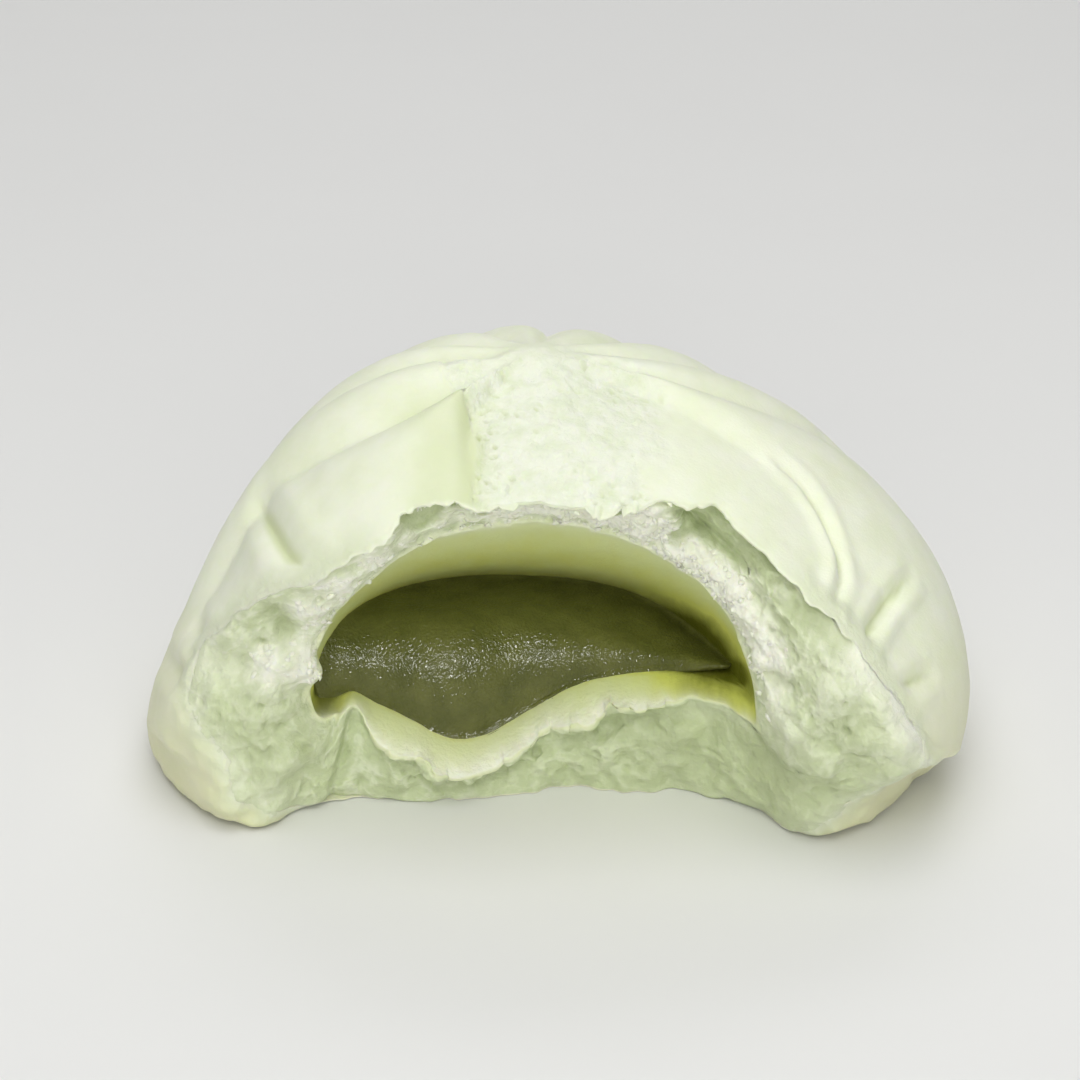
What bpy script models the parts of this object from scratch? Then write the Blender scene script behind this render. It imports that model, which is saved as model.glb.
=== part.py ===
"""Kaya steamed bun, torn open at the front: a pleated dome of dough over a pocket of coconut jam.

Frame: metres, +Z up, the torn side faces -Y. The bun stands on the plane z = 0 and the origin
is the centre of its outline there. Inside the script the knot's axis is x = y = 0, and every
object hangs from an empty that moves that axis to its place in the frame.
"""

import math

import bmesh
import bpy
import numpy as np

# Frame: where the knot's axis stands, measured from the centre of the finished outline
KNOT_X = -0.0025
KNOT_Y = -0.0050

# Dome of dough
BUN_RADIUS = 0.0500
BUN_HEIGHT = 0.0512
WIDEST_HEIGHT = 0.0080  # height of the widest ring above the table
TUCK = 0.0050  # how far the foot turns in below that ring
FOOT_SHIFT = (0.0005, -0.0060)  # the foot's centre, measured from the knot's axis
BELLY_SHIFT_X = 0.0046  # the dome leans this far to the right at half height
SHOULDER_POWER = 2.2  # how full the shoulder is, on average
SHOULDER_LEAN = -0.20  # the left shoulder is fuller than the right one by this power
CROWN_POWER = 1.55

# Pleats: (azimuth of the crease in degrees, 0 to the right and 90 to the back, its turn in
# degrees per millimetre outwards, swell of the petal that follows it)
PLEATS = (
    (-158.0, -1.3, 1.45),
    (-106.0, 0.3, 0.35),
    (-21.0, -0.4, 1.05),
    (13.0, 1.1, 0.9),
    (39.0, 0.7, 0.8),
    (66.0, 0.6, 0.75),
    (93.0, 0.6, 0.8),
    (119.0, 0.5, 0.75),
    (145.0, 0.4, 0.9),
    (172.0, 0.2, 1.5),
)
PLEAT_DEPTH = 0.0022
PLEAT_LEVEL = 0.75  # the share of the depth that lies below the smooth dome
PLEAT_MIDDLE = 0.026  # each crease has its stated azimuth at this radius
PLEAT_TURN_REACH = (-0.014, 0.010)  # the turn stops this far inside and outside that radius
PLEAT_FULL_RADIUS = 0.012  # the pleats reach full depth this far from the knot
PLEAT_END_HEIGHT = 0.014  # the pleats have smoothed out by this height
KNOT_RADIUS = 0.0045
KNOT_RISE = 0.0008

# Wrinkles of the lobes beside the tear: (azimuth, height) of both ends, depth, half width
WRINKLES = (
    ((-170.0, 0.0368), (-140.0, 0.0350), 0.0014, 0.0019),
    ((-172.0, 0.0205), (-150.0, 0.0232), 0.0015, 0.0018),
    ((-174.0, 0.0125), (-150.0, 0.0190), 0.0009, 0.0016),
    ((-20.0, 0.0292), (-43.0, 0.0262), 0.0016, 0.0018),
    ((-24.0, 0.0202), (-40.0, 0.0208), 0.0012, 0.0015),
)

# Tear: the front is torn away along the surface y = tear_depth(x, z)
TEAR_Y = -0.0262  # plane of the lobes and of the roof's outer edge
SCOOP_DEPTH = 0.0128  # how much further back the tear lies between the lobes
SCOOP_HALF_WIDTH = 0.0320
SCOOP_ROOF_SHARE = 0.52  # share of that depth left under the roof
SCOOP_EDGE = (1.0, 1.27)  # the scoop ends between these sizes of the mouth's arch
LIP_FOLD = (-0.0110, 0.0090, 0.0048)  # the bottom crust hangs forward: x, half width, reach
LOBE_INNER_X = 0.020
LOBE_OUTER_X = 0.036
LOBE_MIDDLE_Z = 0.020
LOBE_HEIGHT = 0.014
RIGHT_LOBE_REACH = 0.0080
LEFT_LOBE_REACH = -0.0050
CORNER_START_X = 0.034  # beyond this the foot's corners round back
CORNER_CURVE = 80.0
GROOVE_DEPTH = 0.0026  # hollow between the torn skin and the ragged inner ridge
GROOVE_SIZE = 1.20  # where the hollow runs, as a size of the mouth's arch
EDGE_SWELLS = ((0.0200, 0.0405, 0.0045), (-0.0215, 0.0380, -0.0030))  # x, z and depth
EDGE_SWELL_SIZE = 0.0070
CRAG_DEPTH = 0.0011
CRAG_SIZE = 0.0042

# Pocket of the filling: an arch over a floor, smaller and smaller towards the back
MOUTH_Y = -0.0200
POCKET_END_Y = 0.0140
POCKET_X = -0.0004
POCKET_SHIFT_X = -0.0022  # the back end lies this far to the side
POCKET_HALF_WIDTH = 0.0266
POCKET_MID_Z = 0.0146  # the arch springs from this height
POCKET_RISE = 0.0241
FLOOR_Z = 0.0093
FLOOR_SLOPE = 0.16  # climb of the floor to the right of the middle
FLOOR_SAG = (-0.0080, 0.0095, 0.0052)  # x, half width and depth of the dip at the lip
LIP_RISE = 0.0034  # the lining climbs this far inwards from its lip
LIP_LENGTH = 0.0040
BASIN_DEPTH = 0.0055  # the floor sinks again under the filling
BASIN_EDGE = (0.0050, 0.0150)  # distances from the lip where it starts and ends to sink

# Filling
FILLING_GAP = 0.0003
FILLING_TOP = 0.0187
FILLING_TILT = -0.075  # the top is higher on the left
FILLING_EDGE = 0.0045  # the filling starts this far behind the lip
FILLING_RUN = 0.0050  # distance over which the filling rounds up from its front edge

# Mesh density
DOME_SEGMENTS = 108
DOME_RINGS = 26
FOOT_RINGS = (0.30, 0.62, 0.86)
TEAR_STEP = 0.0016
POCKET_SEGMENTS = 56
POCKET_RINGS = 13
FILLING_STEP = 0.0020

CUTTER_REACH = 0.075

DOUGH_COLOUR = (0.84, 0.88, 0.68, 1.0)
KAYA_COLOUR = (0.075, 0.082, 0.016, 1.0)


def lattice(cells, seed):
    """Repeatable values from -1 to 1 for whole-number cell coordinates."""
    mixed = cells[..., 0] * 374761393 + cells[..., 1] * 668265263 + cells[..., 2] * 1442695041
    mixed = (mixed + seed * 974634777) & 0xFFFFFFFF
    mixed = ((mixed ^ (mixed >> 13)) * 1274126177) & 0xFFFFFFFF
    return ((mixed ^ (mixed >> 16)) & 0xFFFF) / 32767.5 - 1.0


def smooth_noise(points, size, seed):
    """Value noise of the given feature size: lattice values blended by smoothstep weights."""
    scaled = np.asarray(points, float) / size
    cell = np.floor(scaled).astype(np.int64)
    part = scaled - cell
    part = part * part * (3.0 - 2.0 * part)
    total = np.zeros(scaled.shape[:-1])
    for corner in np.ndindex(2, 2, 2):
        weight = np.prod(np.where(corner, part, 1.0 - part), axis=-1)
        total += weight * lattice(cell + np.array(corner), seed)
    return total


def layered_noise(points, size, seed, layers=3):
    """Sum of noises, each half the size and strength of the one before."""
    total = np.zeros(np.asarray(points).shape[:-1])
    for layer in range(layers):
        total += smooth_noise(points, size / 2**layer, seed + layer) / 2**layer
    return total


def bell(value, middle, width):
    """Bell curve of height 1."""
    return np.exp(-(((value - middle) / width) ** 2))


def ease(value, low, high):
    """0 below low, 1 above high and smooth between."""
    part = np.clip((value - low) / (high - low), 0.0, 1.0)
    return part * part * (3.0 - 2.0 * part)


def dome_centre(z):
    """Centre of the dome's level ring at height z."""
    share = np.clip(z / BUN_HEIGHT, 0.0, 1.0)
    x = FOOT_SHIFT[0] * (1.0 - share) + BELLY_SHIFT_X * np.sin(math.pi * share)
    return x, FOOT_SHIFT[1] * (1.0 - share)


def dome_radius(azimuth, z):
    """Radius of the smooth dome: a crown that rises from the widest ring, over a tucked foot."""
    power = SHOULDER_POWER + SHOULDER_LEAN * np.cos(azimuth)
    rise = np.clip((z - WIDEST_HEIGHT) / (BUN_HEIGHT - WIDEST_HEIGHT), 0.0, 1.0)
    crown = np.clip(1.0 - rise**CROWN_POWER, 0.0, 1.0) ** (1.0 / power)
    fall = np.clip((WIDEST_HEIGHT - z) / WIDEST_HEIGHT, 0.0, 1.0)
    foot = 1.0 - TUCK / BUN_RADIUS * (1.0 - np.sqrt(1.0 - fall**2))
    return BUN_RADIUS * np.where(z >= WIDEST_HEIGHT, crown, foot)


def dome_point(azimuth, z):
    """Point of the smooth dome."""
    x, y = dome_centre(z)
    radius = dome_radius(azimuth, z)
    return np.stack([x + radius * np.cos(azimuth), y + radius * np.sin(azimuth), z], axis=-1)


def pleat_relief(azimuth, z):
    """Height of the pleats: petals that swell between creases, which turn as they run outwards."""
    radius = dome_radius(azimuth, z)
    start, turn, swell = np.array(PLEATS).T
    outwards = np.clip(radius - PLEAT_MIDDLE, *PLEAT_TURN_REACH)[..., None]
    creases = np.radians(start + turn * outwards * 1000.0)
    after = np.mod(azimuth[..., None] - creases, math.tau)
    nearest = np.argmin(after, axis=-1)[..., None]
    into = np.take_along_axis(after, nearest, axis=-1)[..., 0]
    gaps = np.mod(np.roll(creases, -1, axis=-1) - creases, math.tau)
    share = np.clip(into / np.take_along_axis(gaps, nearest, axis=-1)[..., 0], 0.0, 1.0)
    petal = np.sin(math.pi * share**0.85) ** 0.62 * swell[nearest[..., 0]]
    fade = ease(z, PLEAT_END_HEIGHT, PLEAT_END_HEIGHT + 0.016) * ease(radius, 0.0, PLEAT_FULL_RADIUS)
    return PLEAT_DEPTH * fade * (petal - PLEAT_LEVEL)


def wrinkle_relief(points):
    """Grooves along straight runs between two places on the dome, with a raised bank on each side."""
    total = np.zeros(points.shape[:-1])
    for start, end, depth, width in WRINKLES:
        a = dome_point(np.radians(start[0]), np.float64(start[1]))
        b = dome_point(np.radians(end[0]), np.float64(end[1]))
        run = b - a
        along = np.clip((points - a) @ run / (run @ run), 0.0, 1.0)
        away = np.linalg.norm(points - a - along[..., None] * run, axis=-1)
        taper = np.sqrt(np.clip(4.0 * along * (1.0 - along), 0.05, 1.0))
        total -= depth * taper * (bell(away, 0.0, width) - 0.45 * bell(away, 2.0 * width, width))
    return total


def dome_surface(azimuth, z):
    """Points of the finished dome: the smooth one, moved outwards by its pleats and wrinkles."""
    points = dome_point(azimuth, z)
    radius = dome_radius(azimuth, z)
    relief = pleat_relief(azimuth, z) + wrinkle_relief(points)
    rise = KNOT_RISE * bell(radius, 0.0, KNOT_RADIUS)
    level = ease(z, WIDEST_HEIGHT, BUN_HEIGHT)
    points[..., 0] += relief * np.cos(azimuth) * (1.0 - level)
    points[..., 1] += relief * np.sin(azimuth) * (1.0 - level)
    points[..., 2] += relief * level + rise
    return points


def arch_size(x, z):
    """Size of the mouth's arch through (x, z): 1 on the arch itself, straight below its middle."""
    above = np.clip(z - POCKET_MID_Z, 0.0, None) / POCKET_RISE
    return np.hypot((x - POCKET_X) / POCKET_HALF_WIDTH, above)


def scoop_depth(x, z):
    """How much further back the tear lies between the lobes than on them."""
    depth = SCOOP_DEPTH * (1.0 - np.clip(np.abs(x) / SCOOP_HALF_WIDTH, 0.0, 1.0) ** 3.5)
    roof = 1.0 - (1.0 - SCOOP_ROOF_SHARE) * ease(z, 0.010, 0.036)
    return depth * roof * (1.0 - ease(arch_size(x, z), *SCOOP_EDGE))


def lip_line(x):
    """y of the lip of the bottom crust."""
    middle, half_width, reach = LIP_FOLD
    return TEAR_Y + scoop_depth(x, np.full_like(x, 0.008)) - reach * bell(x, middle, half_width)


def tear_depth(x, z):
    """y of the torn surface: a scoop between two lobes, with a lip fold, a groove and crags."""
    middle, half_width, reach = LIP_FOLD
    hanging = (0.6 + 0.4 * ease(z, 0.0, 0.004)) * (1.0 - ease(z, 0.010, 0.020))
    y = TEAR_Y + scoop_depth(x, z) - reach * bell(x, middle, half_width) * hanging
    for swell_x, swell_z, depth in EDGE_SWELLS:
        y = y + depth * bell(x, swell_x, EDGE_SWELL_SIZE) * bell(z, swell_z, EDGE_SWELL_SIZE)
    level = bell(z, LOBE_MIDDLE_Z, LOBE_HEIGHT)
    y = y - RIGHT_LOBE_REACH * ease(x, LOBE_INNER_X, LOBE_OUTER_X) * level
    y = y - LEFT_LOBE_REACH * ease(-x, LOBE_INNER_X, LOBE_OUTER_X) * level
    corner = np.clip(np.abs(x) - CORNER_START_X, 0.0, 0.012)
    y = y + CORNER_CURVE * corner**2 * (1.0 - ease(z, 0.004, 0.014))
    aside = np.abs(np.arctan2(z - POCKET_MID_Z, x) - math.radians(48.0))
    groove = 0.30 + 0.70 * bell(aside, 0.0, math.radians(30.0))
    y = y + GROOVE_DEPTH * groove * bell(arch_size(x, z), GROOVE_SIZE, 0.08) * ease(z, 0.016, 0.028)
    flat = np.stack([x, np.zeros_like(x), z], axis=-1)
    return y + CRAG_DEPTH * layered_noise(flat, CRAG_SIZE, 11)


def floor_height(x, y):
    """Height of the pocket's floor, which dips left of the middle and climbs inwards at its lip."""
    middle, half_width, depth = FLOOR_SAG
    base = FLOOR_Z + FLOOR_SLOPE * np.clip(x, 0.0, None) - depth * bell(x, middle, half_width)
    inside = np.clip(y - lip_line(x), -0.003, None)
    basin = BASIN_DEPTH * ease(inside, *BASIN_EDGE)
    return base + LIP_RISE * (1.0 - np.exp(-inside / LIP_LENGTH)) - basin


def pocket_ring(y, inset):
    """Closed section of the pocket at y: an arched roof over the floor."""
    share = np.clip((y + inset - MOUTH_Y) / (POCKET_END_Y - MOUTH_Y), 0.0, 0.999)
    half_width = POCKET_HALF_WIDTH * math.sqrt(1.0 - share**1.5) - inset
    rise = POCKET_RISE * (1.0 - share) ** 1.1
    turn = np.arange(POCKET_SEGMENTS) * math.tau / POCKET_SEGMENTS
    x = POCKET_X + POCKET_SHIFT_X * share + half_width * np.cos(turn)
    floor = np.minimum(floor_height(x, y), POCKET_MID_Z - 1.5 * FILLING_GAP) + inset
    lower = POCKET_MID_Z - (POCKET_MID_Z - floor) * np.abs(np.sin(turn)) ** 0.5
    upper = POCKET_MID_Z + (rise - inset) * np.sin(turn)
    z = np.where(np.sin(turn) >= 0.0, upper, lower)
    return np.stack([x, np.full(POCKET_SEGMENTS, y), z], axis=-1)


def filling_height(x, y):
    """Height of the filling's top: a mound that rounds up from its front edge."""
    edge = lip_line(x) + FILLING_EDGE
    start = floor_height(x, edge)
    into = y - edge
    crown = FILLING_TOP + FILLING_TILT * x
    rise = (crown - start) * (1.0 - np.exp(-np.clip(into, 0.0, None) / FILLING_RUN))
    return start + rise + 3.0 * np.clip(into, None, 0.0)


def lofted_object(name, rings, poles):
    """Closed mesh through equal rings of points, with a fan from each pole to its end ring."""
    mesh = bmesh.new()
    loops = [[mesh.verts.new(point) for point in ring] for ring in rings]
    for first, second in zip(loops, loops[1:]):
        for i, corner in enumerate(first):
            following = (i + 1) % len(first)
            mesh.faces.new((corner, first[following], second[following]))
            mesh.faces.new((corner, second[following], second[i]))
    for pole, loop in zip(poles, (loops[0], loops[-1])):
        tip = mesh.verts.new(pole)
        for i, corner in enumerate(loop):
            mesh.faces.new((tip, corner, loop[(i + 1) % len(loop)]))
    bmesh.ops.recalc_face_normals(mesh, faces=mesh.faces)
    return finished_object(name, mesh)


def slab_object(name, sheet, backing):
    """Closed mesh between a grid of points and the same grid moved by the function backing."""
    mesh = bmesh.new()
    rows, columns = sheet.shape[:2]
    front = [[mesh.verts.new(point) for point in row] for row in sheet]
    for i in range(rows - 1):
        for j in range(columns - 1):
            mesh.faces.new((front[i][j], front[i][j + 1], front[i + 1][j + 1], front[i + 1][j]))
    made = bmesh.ops.extrude_face_region(mesh, geom=list(mesh.faces))["geom"]
    for vertex in (item for item in made if isinstance(item, bmesh.types.BMVert)):
        vertex.co = backing(vertex.co)
    bmesh.ops.recalc_face_normals(mesh, faces=mesh.faces)
    return finished_object(name, mesh)


def finished_object(name, mesh):
    """Blender object made from a bmesh, shaded smooth except at sharp folds."""
    data = bpy.data.meshes.new(name)
    mesh.to_mesh(data)
    mesh.free()
    data.shade_smooth()
    data.set_sharp_from_angle(angle=math.radians(50.0))
    made = bpy.data.objects.new(name, data)
    bpy.context.scene.collection.objects.link(made)
    return made


def as_cutter(cutter):
    """Marks an object as a helper that only shapes others."""
    cutter.hide_render = True
    cutter.display_type = "WIRE"
    return cutter


def cut_with(target, cutter, operation):
    """Adds a Boolean modifier to target."""
    modifier = target.modifiers.new(f"{operation.lower()}_{cutter.name}", "BOOLEAN")
    modifier.operation = operation
    modifier.object = cutter
    modifier.solver = "EXACT"


def make_material(name, colour, roughness):
    """Principled material of one colour."""
    material = bpy.data.materials.new(name)
    material.use_nodes = True
    shader = material.node_tree.nodes["Principled BSDF"]
    shader.inputs["Base Color"].default_value = colour
    shader.inputs["Roughness"].default_value = roughness
    shader.inputs["Metallic"].default_value = 0.0
    return material


def make_dome():
    """The whole bun before it is torn: a flat foot, a tucked skirt and a pleated crown."""
    azimuth = np.arange(DOME_SEGMENTS) * math.tau / DOME_SEGMENTS
    rings = []
    foot = dome_surface(azimuth, np.zeros(DOME_SEGMENTS))
    foot_centre = np.array([*FOOT_SHIFT, 0.0])
    for share in FOOT_RINGS:
        rings.append(foot_centre + share * (foot - foot_centre))
    for step in range(DOME_RINGS):
        height = BUN_HEIGHT * math.sin(0.5 * math.pi * step / DOME_RINGS) ** 1.15
        rings.append(dome_surface(azimuth, np.full(DOME_SEGMENTS, height)))
    top = dome_surface(np.zeros(1), np.array([BUN_HEIGHT]))[0]
    return lofted_object("dough", rings, (foot_centre, top))


def make_tear_cutter():
    """Everything in front of the torn surface."""
    x = np.arange(-0.060, 0.0601, TEAR_STEP)
    z = np.arange(-0.004, 0.0601, TEAR_STEP)
    x, z = np.meshgrid(x, z)
    sheet = np.stack([x, tear_depth(x, z), z], axis=-1)
    return as_cutter(slab_object("tear_cutter", sheet, lambda co: (co.x, -CUTTER_REACH, co.z)))


def make_pocket(name, fronts, inset):
    """The pocket as a solid, from the first of the planes in fronts to its back end."""
    span = POCKET_END_Y - MOUTH_Y
    steps = [math.sin(0.5 * math.pi * i / POCKET_RINGS) for i in range(POCKET_RINGS)]
    planes = [*fronts, *(MOUTH_Y + span * step for step in steps)]
    loops = [pocket_ring(y, inset) for y in planes]
    end = (POCKET_X + POCKET_SHIFT_X, POCKET_END_Y - 2.0 * inset, POCKET_MID_Z)
    return lofted_object(name, loops, (loops[0].mean(axis=0), end))


def make_filling():
    """Jam that lies in the pocket: the pocket's own shape, cut off at the filling's top."""
    filling = make_pocket("kaya_filling", (), FILLING_GAP)
    x = np.arange(-0.034, 0.0341, FILLING_STEP)
    y = np.arange(-0.026, 0.0181, FILLING_STEP)
    x, y = np.meshgrid(x, y)
    sheet = np.stack([x, y, filling_height(x, y)], axis=-1)
    above = slab_object("air_cutter", sheet, lambda co: (co.x, co.y, CUTTER_REACH))
    cut_with(filling, as_cutter(above), "DIFFERENCE")
    return filling


def build():
    """Clears the scene and makes the two solids."""
    for old in list(bpy.data.objects):
        bpy.data.objects.remove(old)
    knot_axis = bpy.data.objects.new("knot_axis", None)
    bpy.context.scene.collection.objects.link(knot_axis)
    dough = make_dome()
    cut_with(dough, make_tear_cutter(), "DIFFERENCE")
    pocket = make_pocket("pocket_cutter", (-CUTTER_REACH,), 0.0)
    cut_with(dough, as_cutter(pocket), "DIFFERENCE")
    filling = make_filling()
    dough.data.materials.append(make_material("dough", DOUGH_COLOUR, 0.55))
    filling.data.materials.append(make_material("kaya", KAYA_COLOUR, 0.22))
    for made in bpy.context.scene.collection.objects:
        if made is not knot_axis:
            made.parent = knot_axis
    knot_axis.location = (KNOT_X, KNOT_Y, 0.0)


build()
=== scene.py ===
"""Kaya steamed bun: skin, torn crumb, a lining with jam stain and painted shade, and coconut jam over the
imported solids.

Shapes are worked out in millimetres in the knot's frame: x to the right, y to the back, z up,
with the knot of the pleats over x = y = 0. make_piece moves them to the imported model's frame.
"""

import logging
import math
from collections.abc import Callable
from dataclasses import dataclass
from enum import Enum

import bpy
import numpy as np
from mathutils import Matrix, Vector
from numpy.typing import NDArray


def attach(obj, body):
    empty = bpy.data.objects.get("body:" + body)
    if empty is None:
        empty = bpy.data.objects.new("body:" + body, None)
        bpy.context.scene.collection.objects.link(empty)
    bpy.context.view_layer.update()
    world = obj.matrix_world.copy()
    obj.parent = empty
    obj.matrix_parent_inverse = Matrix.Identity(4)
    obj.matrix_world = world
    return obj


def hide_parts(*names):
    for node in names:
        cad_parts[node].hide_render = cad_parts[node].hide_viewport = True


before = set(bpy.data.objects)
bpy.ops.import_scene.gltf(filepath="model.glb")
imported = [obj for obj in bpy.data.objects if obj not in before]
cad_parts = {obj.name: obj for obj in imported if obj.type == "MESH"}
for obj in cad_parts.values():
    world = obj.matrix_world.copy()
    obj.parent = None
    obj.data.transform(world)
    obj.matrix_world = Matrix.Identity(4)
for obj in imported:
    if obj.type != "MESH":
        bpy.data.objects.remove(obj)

Array = NDArray[np.float64]
Whole = NDArray[np.int64]
Pair = tuple[float, float]
Triple = tuple[float, float, float]
Colour = Triple
Faces = list[list[int]]
Waves = tuple[tuple[float, float, int], ...]
Piece = bpy.types.Object
Material = bpy.types.Material
Socket = bpy.types.NodeSocket
Given = Socket | float | tuple[float, ...]

LOG = logging.getLogger("kaya_bun")
MM = 0.001
KNOT = np.array([-2.5, -5.0, 0.0])
FORWARD = np.array([0.0, -1.0, 0.0])
HALVINGS = 30


def bell(value: Array, middle: float | Array, width: float) -> Array:
    """Bell curve of height 1: e to minus the squared distance from the middle in widths."""
    return np.exp(-(((value - middle) / width) ** 2))


def eased(share: Array) -> Array:
    """Share from 0 to 1 that starts and ends gently: 3 s^2 - 2 s^3."""
    return share * share * (3.0 - 2.0 * share)


def ease(value: Array, low: float | Array, high: float | Array) -> Array:
    """0 below low, 1 above high, and an eased share between."""
    return eased(np.clip((value - low) / (high - low), 0.0, 1.0))


def degrees_from(angle: Array, middle: float) -> Array:
    """Degrees, the short way round, from a middle in degrees to angles in radians."""
    return np.abs((np.degrees(angle) - middle + 180.0) % 360.0 - 180.0)


def unit(vectors: Array) -> Array:
    """Vectors divided by their length."""
    return vectors / np.maximum(np.linalg.norm(vectors, axis=-1, keepdims=True), 1e-9)


def stack(x: Array, y: Array, z: Array) -> Array:
    """Points from their three coordinates, broadcast to one shape."""
    return np.stack(np.broadcast_arrays(x, y, z), axis=-1).astype(float)


class Grain:
    """Repeatable unevenness, read from a lattice of whole-number cells."""

    RIDGE_FADE = 0.6
    SCATTER = 0.44

    @staticmethod
    def lattice(cells: Whole, seed: int) -> Array:
        """Values from -1 to 1: the cell's numbers times large primes, mixed by shifts."""
        mixed = cells[..., 0] * 374761393 + cells[..., 1] * 668265263 + cells[..., 2] * 1442695041
        mixed = (mixed + seed * 974634777) & 0xFFFFFFFF
        mixed = ((mixed ^ (mixed >> 13)) * 1274126177) & 0xFFFFFFFF
        return ((mixed ^ (mixed >> 16)) & 0xFFFF) / 32767.5 - 1.0

    @classmethod
    def smooth(cls, points: Array, size: float, seed: int) -> Array:
        """Soft noise: the lattice values at a cell's eight corners, blended by eased shares.

        Args:
            points: Places to read, in millimetres.
            size: Width of a cell.
            seed: Which noise of many.

        Returns:
            One value from -1 to 1 for each place.
        """
        scaled = np.asarray(points, float) / size
        cell = np.floor(scaled).astype(np.int64)
        share = eased(scaled - cell)
        total = np.zeros(scaled.shape[:-1])
        for corner in np.ndindex(2, 2, 2):
            weight = np.prod(np.where(corner, share, 1.0 - share), axis=-1)
            total += weight * cls.lattice(cell + np.array(corner), seed)
        return total

    @classmethod
    def layered(cls, points: Array, size: float, seed: int, layers: int = 3) -> Array:
        """Sum of soft noises, each half the size and strength of the one before."""
        total = np.zeros(np.asarray(points).shape[:-1])
        for layer in range(layers):
            total += cls.smooth(points, size / 2**layer, seed + layer) / 2**layer
        return total

    @classmethod
    def ridged(cls, points: Array, size: float, seed: int, layers: int = 3) -> Array:
        """Noise with sharp crests: (1 - |soft noise|)^2 in finer and finer layers.

        Args:
            points: Places to read, in millimetres.
            size: Width of the widest cell.
            seed: Which noise of many.
            layers: Number of layers, each of half the size and 0.6 of the weight.

        Returns:
            One value from 0 to 1 for each place, 1 on the crests.
        """
        weights = cls.RIDGE_FADE ** np.arange(layers)
        total = np.zeros(np.asarray(points).shape[:-1])
        for layer, weight in enumerate(weights):
            crest = 1.0 - np.abs(cls.smooth(points, size / 2**layer, seed + layer))
            total += weight * crest * crest
        return total / weights.sum()

    @classmethod
    def drift(cls, points: Array, size: float, reach: float, seed: int) -> Array:
        """Points pushed about by up to reach, by one soft noise along each axis."""
        pushes = [cls.smooth(points, size, seed + k) for k in range(3)]
        return points + reach * np.stack(pushes, axis=-1)

    @classmethod
    def bubbles(cls, points: Array, size: float, seed: int) -> Array:
        """Distance to the nearest of one scattered centre per cell, in cells.

        Args:
            points: Places to read, in millimetres.
            size: Width of a cell.
            seed: Which scatter of many.

        Returns:
            About 0 at a centre and about 0.7 between centres.
        """
        scaled = np.asarray(points, float) / size
        cell = np.floor(scaled).astype(np.int64)
        nearest = np.full(scaled.shape[:-1], 9.0)
        for offset in np.ndindex(3, 3, 3):
            other = cell + np.array(offset) - 1
            jitter = [cls.lattice(other, seed + 31 * k) for k in range(3)]
            centre = other + 0.5 + cls.SCATTER * np.stack(jitter, axis=-1)
            nearest = np.minimum(nearest, np.linalg.norm(scaled - centre, axis=-1))
        return nearest


@dataclass(frozen=True)
class Dome:
    """Smooth outside of the bun: a crown that rises from its widest ring, over a tucked foot."""

    size: float = 50.0
    height: float = 51.2
    widest: float = 8.0
    tuck: float = 5.0
    foot_x: float = 0.5
    foot_y: float = -6.0
    belly_x: float = 4.6
    shoulder: float = 2.2
    lean: float = -0.20
    crown: float = 1.55
    foot_round: float = 1.6
    foot_excess: float = 0.02

    def centre(self, z: Array) -> tuple[Array, Array]:
        """Centre of the level ring at height z: the foot's, leaning to the knot's axis."""
        share = np.clip(z / self.height, 0.0, 1.0)
        x = self.foot_x * (1.0 - share) + self.belly_x * np.sin(math.pi * share)
        return x, self.foot_y * (1.0 - share)

    def ring(self, azimuth: Array, z: Array) -> Array:
        """Radius of the level ring at height z.

        Above the widest ring it is (1 - share^crown)^(1/power), where power is the shoulder's
        fullness and turns with the azimuth. Below it is a quarter circle that turns in by tuck.

        Args:
            azimuth: Azimuth of each place, in radians.
            z: Its height.

        Returns:
            Radii.
        """
        power = self.shoulder + self.lean * np.cos(azimuth)
        rise = np.clip((z - self.widest) / (self.height - self.widest), 0.0, 1.0)
        crown = np.clip(1.0 - rise**self.crown, 0.0, 1.0) ** (1.0 / power)
        fall = np.clip((self.widest - z) / self.widest, 0.0, 1.0)
        foot = 1.0 - self.tuck / self.size * (1.0 - np.sqrt(1.0 - fall**2))
        return self.size * np.where(z >= self.widest, crown, foot)

    def around(self, points: Array) -> tuple[Array, Array]:
        """Azimuth and distance of points from the centre of the ring at their height."""
        x, y = self.centre(points[..., 2])
        across, back = points[..., 0] - x, points[..., 1] - y
        return np.arctan2(back, across), np.hypot(across, back)

    def outside(self, points: Array) -> Array:
        """Below 0 inside the bun: the larger of two distances, blended at the foot's edge.

        The distances are that from the ring outwards and that from the table downwards, and
        (a + b + sqrt((a - b)^2 + foot_round^2)) / 2 is their soft maximum. The foot's excess
        is what this adds in the middle of the foot.
        """
        azimuth, distance = self.around(points)
        a = distance - self.ring(azimuth, points[..., 2])
        b = -points[..., 2]
        return 0.5 * (a + b + np.sqrt((a - b) ** 2 + self.foot_round**2)) - self.foot_excess

    def point(self, azimuth_deg: float, z: float) -> Array:
        """Point of the smooth dome at an azimuth in degrees and a height."""
        azimuth, height = np.radians(azimuth_deg), np.float64(z)
        x, y = self.centre(height)
        reach = self.ring(azimuth, height)
        return np.array([x + reach * np.cos(azimuth), y + reach * np.sin(azimuth), height])


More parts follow.
